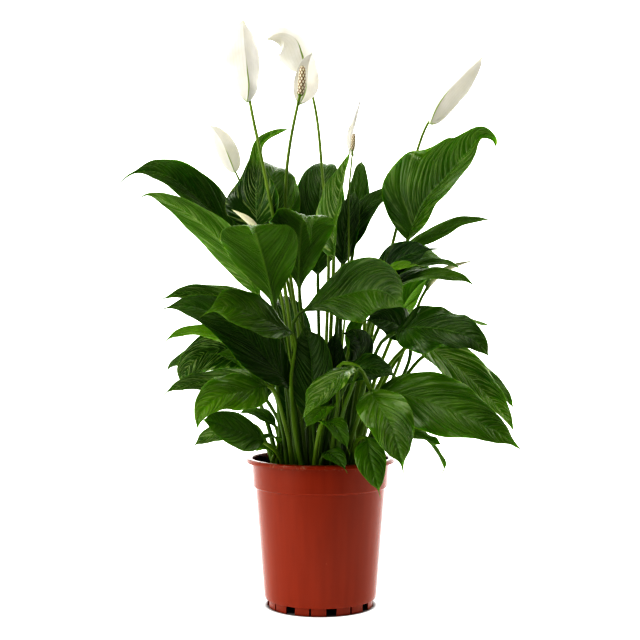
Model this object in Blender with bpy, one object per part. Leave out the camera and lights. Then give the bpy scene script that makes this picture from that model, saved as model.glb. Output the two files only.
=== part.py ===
"""Potted peace lily, in metres, +Z up, resting on its pot's foot ring at z = 0.

The origin lies on the floor under the pot's axis. -Y is the front of the plant and +X its right.
Every leaf is one grown piece: a round stalk that rises from the soil and runs on as the midrib of a
pointed blade. Every flower is an upright stalk that ends in a spadix, with a white spathe behind it.
"""
import math

import bpy
import numpy as np

CM = 0.01
GAP = 0.0003                 # clearance between pieces that touch

# Pot, from the floor up: radii and heights of its outside
POT_HEIGHT = 0.1685
RIM_RADIUS = 0.0850
RIM_DROP = 0.0048            # height of the lip's turned-down edge
COLLAR_TOP_RADIUS = 0.0785
COLLAR_FOOT_RADIUS = 0.07665
COLLAR_FOOT_HEIGHT = 0.1330
BODY_TOP_RADIUS = 0.0739
BODY_FOOT_RADIUS = 0.0638
BODY_FOOT_HEIGHT = 0.0090
FOOT_RADIUS = 0.0605
WALL = 0.0014
FLOOR = 0.0016
POT_SIDES = 36
NOTCHES = 8                  # wide drain notches in the foot ring, with a narrow slit between each two
NOTCH_WIDTH = 0.0115
SLIT_WIDTH = 0.0020
NOTCH_HEIGHT = 0.0082
NOTCH_TURN = math.radians(11.7)
DRAIN_RADIUS = 0.0040        # round drain holes in the floor, one behind each notch
DRAIN_CIRCLE = 0.0520
DRAIN_SIDES = 12
CUT_REACH = 0.0040             # how far a cutter goes past the wall it cuts
ROUNDING = 0.0006              # small edge roundings of the moulding

SOIL_TOP = 0.1580
SOIL_TOP_RADIUS = 0.0747       # slumped a little clear of the collar
SOIL_GAP = 0.0006              # clearance between the soil and the pot
STALK_FOOT = SOIL_TOP + GAP

# Leaf stalk and blade
STALK_RADIUS_FOOT = 0.0028
STALK_RADIUS_KNEE = 0.0017
TIP_RADIUS = 0.0003
BLADE_THICKNESS = 0.0011
STALK_ROWS = (0.0, 0.3, 0.65)
BLADE_ROWS = (0.0, 0.10, 0.24, 0.42, 0.60, 0.78, 0.92, 1.0)
YOUNG_STALK_ROWS = (0.0, 0.5)
YOUNG_BLADE_ROWS = (0.0, 0.14, 0.36, 0.62, 0.86, 1.0)
ACROSS = (1.0, 0.5, 0.0, -0.5, -1.0)
LEAF_SHAPE = (0.85, 1.45)    # how fast the blade widens from its base and narrows to its tip
SPATHE_SHAPE = (0.55, 0.80)
SPATHE_ROWS = (0.0, 0.05, 0.14, 0.28, 0.45, 0.62, 0.80, 0.93, 1.0)
SPATHE_BASE_RADIUS = 0.0012

# Flower stalk and spadix
FLOWER_STALK_RADIUS = 0.0019
SPADIX_RADIUS = 0.0046
BUD_RADII = (0.0022, 0.0020, 0.0018, 0.0017, 0.0034, 0.0040, 0.0024, 0.0011, 0.0003)  # from foot to tip
FLOWER_SIDES = 8

# Young plantlets at the clump's edge: where each one's crown sits and its radius, in centimetres
CROWN_HEIGHT = 0.006
CROWNS = {
    "young_shoot_inner": (1.4, 3.1, 0.8),
    "young_shoot_front": (-0.5, -5.4, 0.9),
    "young_shoot_right": (4.7, -1.2, 1.0),
    "young_shoot_left": (-4.7, -0.5, 0.9),
    "young_shoot_back": (0.9, 5.5, 0.9),
}

solids = {}


def material(name, color, roughness, metallic=0.0):
    """A plain Principled material."""
    mat = bpy.data.materials.new(name)
    mat.use_nodes = True
    shader = mat.node_tree.nodes["Principled BSDF"]
    shader.inputs["Base Color"].default_value = (*color, 1.0)
    shader.inputs["Roughness"].default_value = roughness
    shader.inputs["Metallic"].default_value = metallic
    return mat


def make_object(name, vertices, faces, mat):
    """One named object whose mesh holds the given closed bodies."""
    mesh = bpy.data.meshes.new(name)
    mesh.from_pydata(vertices, [], faces)
    mesh.materials.append(mat)
    obj = bpy.data.objects.new(name, mesh)
    bpy.context.collection.objects.link(obj)
    mesh.shade_smooth()
    return obj


def collect(node, vertices, faces):
    """Keep a closed body under its node's name; the node's object is made at the end."""
    solids.setdefault(node, []).append((vertices.tolist(), faces))


def smooth_path(points, samples=200):
    """Hermite curve through the points, with each tangent weighted by its two chords, as an even polyline."""
    p = np.asarray(points, float)
    chord = np.linalg.norm(np.diff(p, axis=0), axis=1)
    slope = np.diff(p, axis=0) / chord[:, None]
    tangent = np.empty_like(p)
    weight = (chord[1:] / (chord[:-1] + chord[1:]))[:, None]
    tangent[1:-1] = slope[:-1] * weight + slope[1:] * (1 - weight)
    tangent[0] = 1.5 * slope[0] - 0.5 * tangent[1]
    tangent[-1] = 1.5 * slope[-1] - 0.5 * tangent[-2]
    knots = np.concatenate([[0.0], np.cumsum(chord)])
    at = np.linspace(0.0, knots[-1], samples)
    i = np.clip(np.searchsorted(knots, at, side="right") - 1, 0, len(chord) - 1)
    t = ((at - knots[i]) / chord[i])[:, None]
    h = chord[i][:, None]
    curve = ((1 + 2 * t) * (1 - t) ** 2 * p[i] + t * (1 - t) ** 2 * h * tangent[i]
             + t * t * (3 - 2 * t) * p[i + 1] + t * t * (t - 1) * h * tangent[i + 1])
    length = np.concatenate([[0.0], np.cumsum(np.linalg.norm(np.diff(curve, axis=0), axis=1))])
    even = np.linspace(0.0, length[-1], samples)
    return np.stack([np.interp(even, length, curve[:, k]) for k in range(3)], axis=1), length[-1]


def compass(azimuth, elevation):
    """Unit vector: azimuth 0 is the front (-Y) and 90 the right (+X), elevation is above level."""
    a, e = math.radians(azimuth), math.radians(elevation)
    return np.array([math.cos(e) * math.sin(a), -math.cos(e) * math.cos(a), math.sin(e)])


def carried_frames(curve, facing, start):
    """Upward and sideways unit vectors along a curve, carried both ways from one sample."""
    tangent = np.gradient(curve, axis=0)
    tangent /= np.linalg.norm(tangent, axis=1)[:, None]
    up = np.empty_like(curve)
    up[start] = facing - facing.dot(tangent[start]) * tangent[start]
    up[start] /= np.linalg.norm(up[start])
    for step, last in ((1, len(curve)), (-1, -1)):
        for i in range(start + step, last, step):
            carried = up[i - step] - up[i - step].dot(tangent[i]) * tangent[i]
            up[i] = carried / np.linalg.norm(carried)
    return up, np.cross(up, tangent)


def blade_profile(v, shape):
    """Half width over the greatest half width, from 0 at the base through 1 to 0 at the tip."""
    widen, narrow = shape
    widest = widen / (widen + narrow)
    return (v / widest) ** widen * ((1 - v) / (1 - widest)) ** narrow


def closed_loft(rings):
    """Faces that skin a stack of equal rings and close both ends; rings turn left about the path."""
    rows, sides = rings.shape[:2]
    faces = []
    for r in range(rows - 1):
        for s in range(sides):
            n = (s + 1) % sides
            a, b = r * sides, (r + 1) * sides
            faces.append((a + s, a + n, b + n, b + s))
    faces.append(tuple(range(sides - 1, -1, -1)))
    faces.append(tuple(range((rows - 1) * sides, rows * sides)))
    return faces


def sheet_rings(curve, frames, rows, blade_start, width, shape, fold, curl, twist, radii):
    """Rings of a stalk that flattens into a folded, curled blade.

    Each ring is read at its share of the curve. On the stalk it is round. On the blade its points lie
    at shares of the half width, bent up by the fold at the midrib and by fold plus curl at the margin.
    """
    up, side = frames
    share = np.linspace(0.0, 1.0, len(curve))
    rows = np.asarray(rows)
    at = [np.stack([np.interp(rows, share, a[:, k]) for k in range(3)], axis=1) for a in (curve, up, side)]
    v = np.clip((rows - blade_start) / (1 - blade_start), 0.0, 1.0)
    turn = np.radians(twist) * (v - 0.4) * (v > 0)
    cos, sin = np.cos(turn)[:, None], np.sin(turn)[:, None]
    up_row = at[1] * cos - at[2] * sin
    side_row = at[2] * cos + at[1] * sin
    round_radius = np.interp(rows, (0.0, blade_start, 1.0), radii)
    half = (round_radius ** 4 + (width / 2 * blade_profile(v, shape)) ** 4) ** 0.25
    flat = np.clip((half / round_radius - 1) / 2, 0.0, 1.0)
    q = np.asarray(ACROSS)
    start, sweep = np.radians(fold), np.radians(curl) + 1e-6
    bent_out = np.sign(q) * (np.sin(start + sweep * np.abs(q)) - math.sin(start)) / sweep
    bent_up = (math.cos(start) - np.cos(start + sweep * np.abs(q))) / sweep
    arc = np.sin(q * math.pi / 2)
    bulge = np.sqrt(np.clip(1 - q * q, 0.0, None))
    out = half[:, None] * ((1 - flat)[:, None] * arc + flat[:, None] * bent_out)
    lift = half[:, None] * flat[:, None] * bent_up
    round_lift = round_radius[:, None] * np.cos(q * math.pi / 2) * (1 - flat)[:, None]
    thick = flat[:, None] * bulge * np.minimum(BLADE_THICKNESS / 2, half)[:, None]
    keel = flat[:, None] * round_radius[:, None] * (np.abs(q) < 0.1)
    top = lift + round_lift + thick
    under = lift - round_lift - np.maximum(thick, keel)
    ring_out = np.concatenate([out, out[:, -2:0:-1]], axis=1)
    ring_up = np.concatenate([top, under[:, -2:0:-1]], axis=1)
    return at[0][:, None] + side_row[:, None] * ring_out[..., None] + up_row[:, None] * ring_up[..., None]


def leaf(node, foot, blade, width, faces, fold=18, curl=-14, twist=0, stalk=(), shape=LEAF_SHAPE):
    """One leaf: its foot in the soil, the points of its midrib from stalk's end to tip, and its width.

    All in centimetres. Its upper side faces the given compass direction near mid blade; fold lifts
    both halves from the midrib, curl bends them on towards the margin, and twist turns the tip.
    """
    base = np.array([foot[0], foot[1], STALK_FOOT / CM])
    knee = np.array(blade[0], float)
    rise = [tuple(p) for p in stalk] or [tuple(base + (knee - base) * (0.30, 0.30, 0.52))]
    points = np.array([tuple(base), *rise, *blade]) * CM
    curve = smooth_path(points)[0]
    nearest = np.linalg.norm(curve - knee * CM, axis=1).argmin()
    blade_start = nearest / (len(curve) - 1)
    middle = int(nearest + 0.4 * (len(curve) - 1 - nearest))
    frames = carried_frames(curve, compass(*faces), middle)
    young = node in CROWNS
    stalk_rows = YOUNG_STALK_ROWS if young else STALK_ROWS
    blade_rows = YOUNG_BLADE_ROWS if young else BLADE_ROWS
    rows = [r * blade_start for r in stalk_rows] + [blade_start + r * (1 - blade_start) for r in blade_rows]
    radii = (STALK_RADIUS_FOOT, STALK_RADIUS_KNEE, TIP_RADIUS)
    rings = sheet_rings(curve, frames, rows, blade_start, width * CM, shape, fold, curl, twist, radii)
    rings[0, :, 2] = STALK_FOOT
    collect(node, rings.reshape(-1, 3), closed_loft(rings))


def spathe(node, blade, width, faces, fold=10, curl=45, shape=SPATHE_SHAPE):
    """One white spathe: the points of its middle from its base to its tip, in centimetres, and its width."""
    curve = smooth_path(np.array(blade) * CM)[0]
    middle = int(0.4 * len(curve))
    frames = carried_frames(curve, compass(*faces), middle)
    radii = (SPATHE_BASE_RADIUS, SPATHE_BASE_RADIUS, TIP_RADIUS)
    rings = sheet_rings(curve, frames, SPATHE_ROWS, 0.0, width * CM, shape, fold, curl, 0, radii)
    collect(node, rings.reshape(-1, 3), closed_loft(rings))


def tube(node, points, rows, radii):
    """A round stem along the points, in centimetres, with its radius given at shares of its length."""
    curve = smooth_path(np.array(points) * CM)[0]
    up, side = carried_frames(curve, np.array([0.1, -1.0, 0.05]), len(curve) // 2)
    share = np.linspace(0.0, 1.0, len(curve))
    angle = np.arange(FLOWER_SIDES) * 2 * math.pi / FLOWER_SIDES
    at = [np.stack([np.interp(rows, share, a[:, k]) for k in range(3)], axis=1) for a in (curve, up, side)]
    radius = np.asarray(radii)[:, None, None]
    rings = at[0][:, None] + radius * (at[2][:, None] * np.cos(angle)[:, None]
                                       + at[1][:, None] * np.sin(angle)[:, None])
    rings[0, :, 2] = STALK_FOOT
    collect(node, rings.reshape(-1, 3), closed_loft(rings))


def flower_stalk(node, points, spadix, size=1.0):
    """A flower's stalk, in centimetres, that goes on as the spadix's short neck and its round-ended spike."""
    stem = np.array(points, float)
    spike = np.array(spadix, float)
    run = smooth_path(np.concatenate([stem, spike]))[1]
    stem_length = smooth_path(stem)[1]
    neck = stem_length / run
    spike_share = 1 - neck
    rows = [0.0, 0.25, 0.5, 0.75, neck, neck + 0.16 * spike_share, neck + 0.22 * spike_share,
            neck + 0.5 * spike_share, neck + 0.85 * spike_share, neck + 0.96 * spike_share, 1.0]
    thin, fat = FLOWER_STALK_RADIUS * size, SPADIX_RADIUS * size
    radii = [thin * 1.3, thin * 1.2, thin * 1.1, thin, thin * 0.85, thin * 0.8,
             fat * 0.85, fat, fat * 0.85, fat * 0.55, fat * 0.15]
    tube(node, np.concatenate([stem, spike]), rows, radii)


def bud(node, points, start):
    """A young flower: from the given share of its length the stalk swells into a rolled, pointed spathe."""
    rest = 1 - start
    rows = [0.0, 0.3, 0.6, start, start + 0.15 * rest, start + 0.4 * rest, start + 0.7 * rest,
            start + 0.9 * rest, 1.0]
    tube(node, points, rows, BUD_RADII)


def solid_of_revolution(profile, sides):
    """Vertices and faces of a solid turned about +Z, whose outline starts and ends on the axis."""
    points = [(0.0, 0.0, profile[0][1])]
    rings = profile[1:-1]
    for r, z in rings:
        points.extend((r * math.cos(2 * math.pi * s / sides), r * math.sin(2 * math.pi * s / sides), z)
                      for s in range(sides))
    points.append((0.0, 0.0, profile[-1][1]))
    faces = []
    for s in range(sides):
        n = (s + 1) % sides
        faces.append((0, 1 + n, 1 + s))
        for k in range(len(rings) - 1):
            a, b = 1 + k * sides, 1 + (k + 1) * sides
            faces.append((a + s, a + n, b + n, b + s))
        top = 1 + (len(rings) - 1) * sides
        faces.append((top + s, top + n, len(points) - 1))
    return points, faces


def box_cutter(width, angle):
    """Corners and faces of a box that passes through the foot ring at an angle from the front."""
    out = np.array([math.sin(angle), -math.cos(angle), 0.0])
    across = np.array([math.cos(angle), math.sin(angle), 0.0])
    inner, outer = FOOT_RADIUS - CUT_REACH, FOOT_RADIUS + CUT_REACH
    square = ((inner, -1), (outer, -1), (outer, 1), (inner, 1))
    corners = [out * r + across * s * width / 2 + np.array([0, 0, z])
               for z in (-CUT_REACH, NOTCH_HEIGHT) for r, s in square]
    faces = [(0, 3, 2, 1), (4, 5, 6, 7), (0, 1, 5, 4), (1, 2, 6, 5), (2, 3, 7, 6), (3, 0, 4, 7)]
    return corners, faces


def drain_cutter(angle):
    """Corners and faces of an upright plug through the pot's floor."""
    sides = DRAIN_SIDES
    center = np.array([math.sin(angle), -math.cos(angle)]) * DRAIN_CIRCLE
    corners = [(center[0] + DRAIN_RADIUS * math.cos(2 * math.pi * s / sides),
                center[1] + DRAIN_RADIUS * math.sin(2 * math.pi * s / sides), z)
               for z in (BODY_FOOT_HEIGHT - CUT_REACH, BODY_FOOT_HEIGHT + CUT_REACH) for s in range(sides)]
    faces = [tuple(range(sides - 1, -1, -1)), tuple(range(sides, 2 * sides))]
    faces += [(s, (s + 1) % sides, sides + (s + 1) % sides, sides + s) for s in range(sides)]
    return corners, faces


def build_pot(mat):
    """The moulded pot: a turned shell with a lip, a collar, a ledge, a floor and a notched foot ring."""
    inner_floor = BODY_FOOT_HEIGHT + FLOOR
    lip_foot = POT_HEIGHT - RIM_DROP
    profile = [
        (0.0, BODY_FOOT_HEIGHT), (FOOT_RADIUS - WALL, BODY_FOOT_HEIGHT), (FOOT_RADIUS - WALL, 0.0),
        (FOOT_RADIUS, 0.0), (FOOT_RADIUS, BODY_FOOT_HEIGHT - ROUNDING),
        (BODY_FOOT_RADIUS - ROUNDING, BODY_FOOT_HEIGHT - ROUNDING / 3),
        (BODY_FOOT_RADIUS, BODY_FOOT_HEIGHT + 2 * ROUNDING),
        (BODY_TOP_RADIUS, COLLAR_FOOT_HEIGHT - 2 * ROUNDING), (COLLAR_FOOT_RADIUS, COLLAR_FOOT_HEIGHT),
        (COLLAR_TOP_RADIUS, lip_foot + WALL), (RIM_RADIUS - WALL, lip_foot + WALL),
        (RIM_RADIUS - WALL, lip_foot), (RIM_RADIUS - ROUNDING / 2, lip_foot),
        (RIM_RADIUS, lip_foot + 2 * ROUNDING), (RIM_RADIUS, POT_HEIGHT - 3 * ROUNDING),
        (RIM_RADIUS - 3 * ROUNDING, POT_HEIGHT), (COLLAR_TOP_RADIUS - WALL + ROUNDING, POT_HEIGHT),
        (COLLAR_TOP_RADIUS - WALL, POT_HEIGHT - 2 * ROUNDING),
        (COLLAR_FOOT_RADIUS - WALL, COLLAR_FOOT_HEIGHT + WALL), (BODY_TOP_RADIUS - WALL, COLLAR_FOOT_HEIGHT),
        (BODY_FOOT_RADIUS - WALL, inner_floor), (0.0, inner_floor)]
    vertices, faces = solid_of_revolution(profile, POT_SIDES)
    pot = make_object("pot", vertices, faces, mat)
    cuts = [], []
    for i in range(NOTCHES):
        angle = NOTCH_TURN + i * 2 * math.pi / NOTCHES
        for corners, sides in (box_cutter(NOTCH_WIDTH, angle),
                               box_cutter(SLIT_WIDTH, angle + math.pi / NOTCHES), drain_cutter(angle)):
            first = len(cuts[0])
            cuts[0].extend(corners)
            cuts[1].extend([first + k for k in side] for side in sides)
    cutter = make_object("drain_cutter", cuts[0], cuts[1], mat)
    cutter.hide_render = True
    cutter.display_type = "WIRE"
    cut = pot.modifiers.new("drains", "BOOLEAN")
    cut.object = cutter
    cut.operation = "DIFFERENCE"
    cut.solver = "EXACT"
    pot.data.set_sharp_from_angle(angle=math.radians(35))


def build_soil(mat):
    """The soil that fills the pot, a little clear of its wall, ledge and floor."""
    foot = BODY_FOOT_HEIGHT + FLOOR + GAP
    profile = [
        (0.0, foot), (BODY_FOOT_RADIUS - WALL - SOIL_GAP, foot),
        (BODY_TOP_RADIUS - WALL - SOIL_GAP, COLLAR_FOOT_HEIGHT + SOIL_GAP),
        (COLLAR_FOOT_RADIUS - WALL - SOIL_GAP, COLLAR_FOOT_HEIGHT + WALL + SOIL_GAP),
        (SOIL_TOP_RADIUS, SOIL_TOP), (0.0, SOIL_TOP)]
    vertices, faces = solid_of_revolution(profile, POT_SIDES)
    make_object("soil", vertices, faces, mat)


def build_shoot(name, leaves, mat):
    """A young plantlet: its low crown on the soil, with its leaves' stalks grown into it as one body."""
    x, y, radius = CROWNS[name]
    foot, height = STALK_FOOT, CROWN_HEIGHT
    profile = [(0.0, foot), (radius * 0.8 * CM, foot), (radius * CM, foot + 0.35 * height),
               (radius * 0.75 * CM, foot + 0.8 * height), (0.0, foot + height)]
    points, faces = solid_of_revolution(profile, 12)
    crown = make_object(name, [(px + x * CM, py + y * CM, pz) for px, py, pz in points], faces, mat)
    grown = bpy.data.collections.new(name + "_leaves")
    bpy.context.scene.collection.children.link(grown)
    for i, (vertices, polygons) in enumerate(leaves):
        cutter = make_object(f"{name}_leaf_{i + 1}", vertices, polygons, mat)
        bpy.context.collection.objects.unlink(cutter)
        grown.objects.link(cutter)
        cutter.hide_render = True
        cutter.display_type = "WIRE"
    join = crown.modifiers.new("leaves", "BOOLEAN")
    join.operand_type = "COLLECTION"
    join.collection = grown
    join.operation = "UNION"
    join.solver = "EXACT"


for old in list(bpy.data.objects):
    bpy.data.objects.remove(old)

terracotta = material("terracotta_plastic", (0.36, 0.065, 0.028), 0.38)
peat = material("peat_soil", (0.012, 0.008, 0.006), 0.95)
green = material("leaf_green", (0.022, 0.085, 0.010), 0.35)
stem_green = material("stem_green", (0.12, 0.23, 0.03), 0.45)
white = material("spathe_white", (0.80, 0.78, 0.70), 0.50)

build_pot(terracotta)
build_soil(peat)

# Tall leaves of the crown
leaf("leaf_top_1", (-2.0, 1.6), [(-9, 4, 41.5), (-12.1, 3.2, 44.7), (-15, 2.2, 47.4), (-17.6, 1.4, 49.2),
     (-20, 0.9, 49.8), (-21.6, 0.5, 49.4), (-23.9, 0, 47.2)], 5.8, (10, 42), fold=30)
leaf("leaf_top_2", (-2.7, -0.6), [(-6.9, -1, 35.2), (-10.2, -1.6, 40.3), (-13.2, -2, 43.4), (-16.6, -2.4,
     45.6), (-19.6, -2.8, 46.6), (-21.6, -3, 44.8)], 4.8, (165, 40), fold=10)
leaf("leaf_top_3", (-2.4, 0.6), [(-7.3, 0.4, 42.6), (-7.4, 0.8, 45.5), (-7.45, 1.4, 48.5), (-7.4, 1.9,
     51.2), (-7.0, 2.2, 53.0), (-6.1, 2.2, 53.9), (-4.9, 2.1, 54.5), (-3.8, 2, 54.75)], 7.4, (-18, 8),
     fold=30, shape=(1.2, 4.2))
leaf("leaf_top_4", (-1.2, 2.4), [(-6.0, 5.6, 40), (-5.9, 7, 46.5), (-5.6, 9.5, 50.8), (-4.8, 12.5, 51.4),
     (-3.8, 15, 49.4)], 7.0, (10, 25), fold=12)
leaf("leaf_top_5", (0.0, 3.6), [(-0.3, 7.5, 38), (-0.3, 8.8, 45), (0.2, 11, 50), (0.8, 14, 52.2), (1.6,
     17.5, 51.4)], 6.8, (0, 30), fold=16)
leaf("leaf_top_6", (0.9, -0.9), [(1.5, -2, 39.5), (1.6, -1.2, 43.4), (2.3, -0.4, 47.5), (3.45, 0.2, 52.3)],
     5.2, (-50, 10), fold=38)
leaf("leaf_top_7", (-0.9, -2.3), [(-2.3, -5.2, 35.5), (-2.2, -9, 39.6), (-1.9, -13.5, 42.4), (-1.3, -16.8,
     43), (-1.0, -18.3, 40.2)], 7.0, (175, 45), fold=14, shape=(1.5, 1.0))
leaf("leaf_top_8", (-2.6, -2.8), [(-4.9, -6.4, 33.6), (-5.7, -10.5, 37.8), (-6.4, -14.6, 40.6), (-6.8, -18,
     42), (-6.6, -20.2, 40.8)], 8.0, (175, 45), fold=12, shape=(1.5, 1.0))
leaf("leaf_top_9", (2.6, 0.6), [(10.1, 1.6, 41.8), (11.0, 1.3, 44.2), (12.1, 1.1, 46.3), (14.6, 0.6, 49.1),
     (16.9, 0.3, 51.8), (18.7, 0.1, 53.6), (19.8, 0, 53.2), (20.2, 0, 51.6)], 11.4, (-44, 21), fold=36,
     shape=(0.95, 1.8))
leaf("leaf_top_10", (2.1, 1.9), [(3.0, 5.4, 40.8), (3.8, 5.4, 43), (4.8, 5.4, 45.1), (6.2, 6, 46.7), (8.4,
     6.6, 48.1), (10.4, 7, 48.6)], 3.3, (-10, 30), fold=16, shape=(0.6, 1.2))
leaf("leaf_top_11", (-0.5, 2.3), [(-4.2, 4, 40), (-3.8, 4, 44.9), (-2.9, 4, 47.8), (-3.2, 4.2, 50.5)], 3.0,
     (-70, 10), fold=30)
leaf("young_shoot_inner", (1.0, 3.6), [(4.1, 8.2, 42), (4.5, 8.4, 46), (4.8, 8.8, 49.5), (5.0, 10, 51.8),
     (5.4, 12, 52.2)], 3.0, (-10, 15), fold=16)
leaf("young_shoot_inner", (1.2, 2.6), [(2.6, 2.8, 39), (3.1, 3.2, 43.4), (3.8, 4, 46.6), (4.2, 6, 48.6)],
     3.6, (-20, 25), fold=20)

# Leaves of the middle
leaf("leaf_mid_1", (1.0, -2.8), [(-2.5, -5.9, 33.1), (-0.6, -6.3, 34.2), (1.05, -6.6, 34.9), (2.7, -7.1,
     35.3), (4.3, -7.7, 35.7), (5.9, -8.6, 35.8), (7.2, -9.5, 35.4), (8.4, -10.4, 34.4), (9.5, -11.2,
     33.4)], 7.6, (-10, 22), fold=12, shape=(2.2, 1.9))
leaf("leaf_mid_2", (0.3, -4.0), [(0.9, -4.0, 23.1), (1.1, -4.2, 25.4), (1.4, -4.4, 28.2), (1.7, -4.5, 30.9),
     (1.9, -4.3, 32.4)], 3.6, (10, 10), fold=20)
leaf("young_shoot_front", (-0.5, -4.9), [(-0.8, -5.2, 21), (-0.9, -5.4, 25), (-1.1, -6.0, 29), (-1.7, -6.8,
     31.4), (-2.4, -7.6, 32.7)], 4.8, (0, 20), shape=(0.7, 0.8))

# Leaves on the right
leaf("leaf_right_1", (3.4, 2.5), [(9.9, 4.8, 41), (12, 5.2, 42), (14.3, 5.8, 43.1), (16.2, 6.4, 44.1),
     (18.8, 7, 44.7), (22.2, 7.8, 44.4)], 2.4, (0, 50), fold=14)
leaf("leaf_right_2", (2.0, -0.5), [(7.2, -1.0, 36.8), (7.65, -1.3, 38.4), (8.7, -1.6, 39.4), (10.1, -2, 40),
     (11.8, -2.4, 40.5), (14.2, -3, 40.5)], 4.2, (0, 38), fold=14, shape=(0.7, 1.4))
leaf("leaf_right_3", (3.0, 3.1), [(9.2, 6.4, 36), (11, 7.2, 39), (12.7, 8, 40.6), (14.4, 9, 40.2), (16, 10,
     39.4)], 3.8, (0, 40))
leaf("leaf_right_4", (4.2, 1.0), [(7.9, 2.6, 36.2), (9.9, 3.2, 38.2), (13.2, 3.8, 39.3), (15.8, 4, 39),
     (17.8, 4, 37.4)], 3.0, (0, 65))
leaf("leaf_right_5", (3.5, 0.1), [(6.6, -1.6, 34.2), (9, -2.2, 36.6), (12.4, -2.8, 37.6), (15.7, -3, 37.2),
     (18.6, -3.4, 35.6)], 3.6, (0, 62))
leaf("young_shoot_right", (4.2, -1.4), [(6.6, -2.8, 37.2), (8.4, -3.2, 38.4), (10.1, -3.4, 38.7), (11.8,
     -3.6, 38.4)], 2.0, (0, 60))
leaf("young_shoot_right", (4.5, -0.7), [(8.8, 2.4, 31.8), (9.9, 3.6, 34.6), (11.5, 4.4, 36.6), (13.6, 5.2,
     38)], 3.6, (180, 35))
leaf("young_shoot_inner", (2.0, 3.2), [(3.4, 6.4, 29), (4.4, 6.8, 32.2), (6.4, 7, 34.2)], 1.8, (0, 30))

# Low leaves on the right
leaf("leaf_low_right_1", (2.7, -3.8), [(6.1, -9.4, 24.8), (8.6, -11.2, 24.7), (11.8, -12.8, 24), (14.2,
     -13.5, 23), (16.8, -13.9, 21.9), (19, -14, 20.6), (21.1, -14, 18.8)], 7.8, (5, 38), fold=8, shape=(0.7,
     1.3))
leaf("leaf_low_right_2", (2.5, -2.3), [(8.2, -6.8, 31.2), (10.2, -8.4, 31.8), (12.2, -9.6, 31.7), (14.3,
     -10.4, 31.3), (16, -11, 30.7), (17.2, -11.4, 29.6), (18, -11.6, 28.2)], 6.4, (0, 36), fold=6,
     stalk=[(4.6, -4.6, 24.5), (5.9, -5.8, 28.5), (6.9, -6.4, 30.4)], shape=(0.65, 1.35))
leaf("leaf_low_right_3", (3.6, -2.7), [(10.4, -3.4, 30), (13.3, -4.8, 28.8), (16.1, -6, 26.6), (18.4, -7,
     24.2), (20.3, -7.6, 21.8), (21.3, -7.8, 19.8)], 6.2, (30, 35), fold=14, stalk=[(6.0, -3.0, 24.0), (8.6,
     -3.2, 28.6)])
leaf("leaf_low_right_4", (4.4, 3.8), [(12.5, 8.2, 31), (15.6, 9.2, 32.2), (18.7, 10, 32.3), (21.8, 10.8,
     31.7)], 3.6, (0, 70))
leaf("young_shoot_right", (5.2, -0.8), [(13.9, 3, 29), (18.1, 4, 26.8), (21.2, 4, 24.4), (23.4, 4, 21.2)],
     4.0, (20, 50))
leaf("young_shoot_right", (4.9, -1.8), [(8.4, -4.4, 20.9), (10, -5.2, 20.1), (11.9, -6, 19.5), (13.9, -6.2,
     18.6)], 2.4, (10, 55))
leaf("young_shoot_right", (5.4, -1.3), [(9.4, -1.8, 20.4), (11.4, -2.4, 19.6), (13.1, -3, 17.8), (13.9,
     -3.1, 16.2), (13.3, -3, 14.7)], 1.3, (60, 30), twist=30)
leaf("young_shoot_right", (3.9, -1.7), [(9.9, -3, 30.4), (8.9, -3.6, 31.8), (7.4, -4.2, 32.5), (5.8, -4.8,
     32.6), (4.4, -5.2, 32.3)], 4.6, (0, 28), stalk=[(7.4, -2.2, 22.5)])

# Leaves that lean out over the front of the rim
leaf("leaf_front_1", (1.8, -5.3), [(3.6, -12, 27.6), (2, -14, 26.9), (0.8, -15.6, 25.7), (-0.3, -17, 24.6),
     (-1.2, -18, 23.5), (-2.1, -18.8, 22.4)], 4.8, (-40, 45), fold=14)
leaf("leaf_front_2", (1.3, -3.6), [(2.1, -6.5, 26.9), (3.4, -7.6, 27.1), (5.1, -8.9, 27.4), (6.9, -10,
     27.1), (8.6, -10.8, 26.2)], 4.8, (5, 45), fold=8)
leaf("leaf_front_3", (1.0, -5.2), [(5.2, -13.6, 25.3), (6.3, -15.8, 23.4), (7.2, -17.4, 21.8), (7.6, -18.5,
     20.1), (8, -19.1, 18.7), (8.25, -19.4, 17)], 5.4, (10, 25), fold=12, stalk=[(1.9, -7.6, 23.5), (2.3,
     -10.4, 28.0), (4.05, -12.0, 27.6)], shape=(0.6, 1.25))
leaf("leaf_front_4", (3.5, -4.6), [(5.0, -7.8, 19.8), (5.3, -9.2, 18), (5.9, -9.9, 15.7), (6.4, -10, 13.6)],
     3.4, (-5, 15), fold=8, stalk=[(4.2, -6.4, 19.6)])
leaf("young_shoot_front", (-0.2, -5.3), [(0.6, -6.4, 23), (0, -8.4, 22.8), (-0.8, -10, 22), (-1.9, -11.2,
     20.8)], 3.2, (-20, 60))
leaf("young_shoot_front", (-0.7, -5.9), [(0.2, -8.2, 21.4), (1.3, -10.5, 21.6), (2.3, -12.3, 20.3), (3.1,
     -13, 18.5)], 2.8, (20, 40))
leaf("young_shoot_front", (-0.1, -5.9), [(0.5, -6.3, 18), (1.6, -8, 17.8), (2.9, -9.6, 16.2)], 2.4, (0, 55))
leaf("young_shoot_front", (0.2, -5.0), [(3.6, -5.4, 27.2), (4.4, -6, 29.6), (3.6, -7.2, 31), (1.7, -8, 31)],
     3.2, (10, 30))

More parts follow.
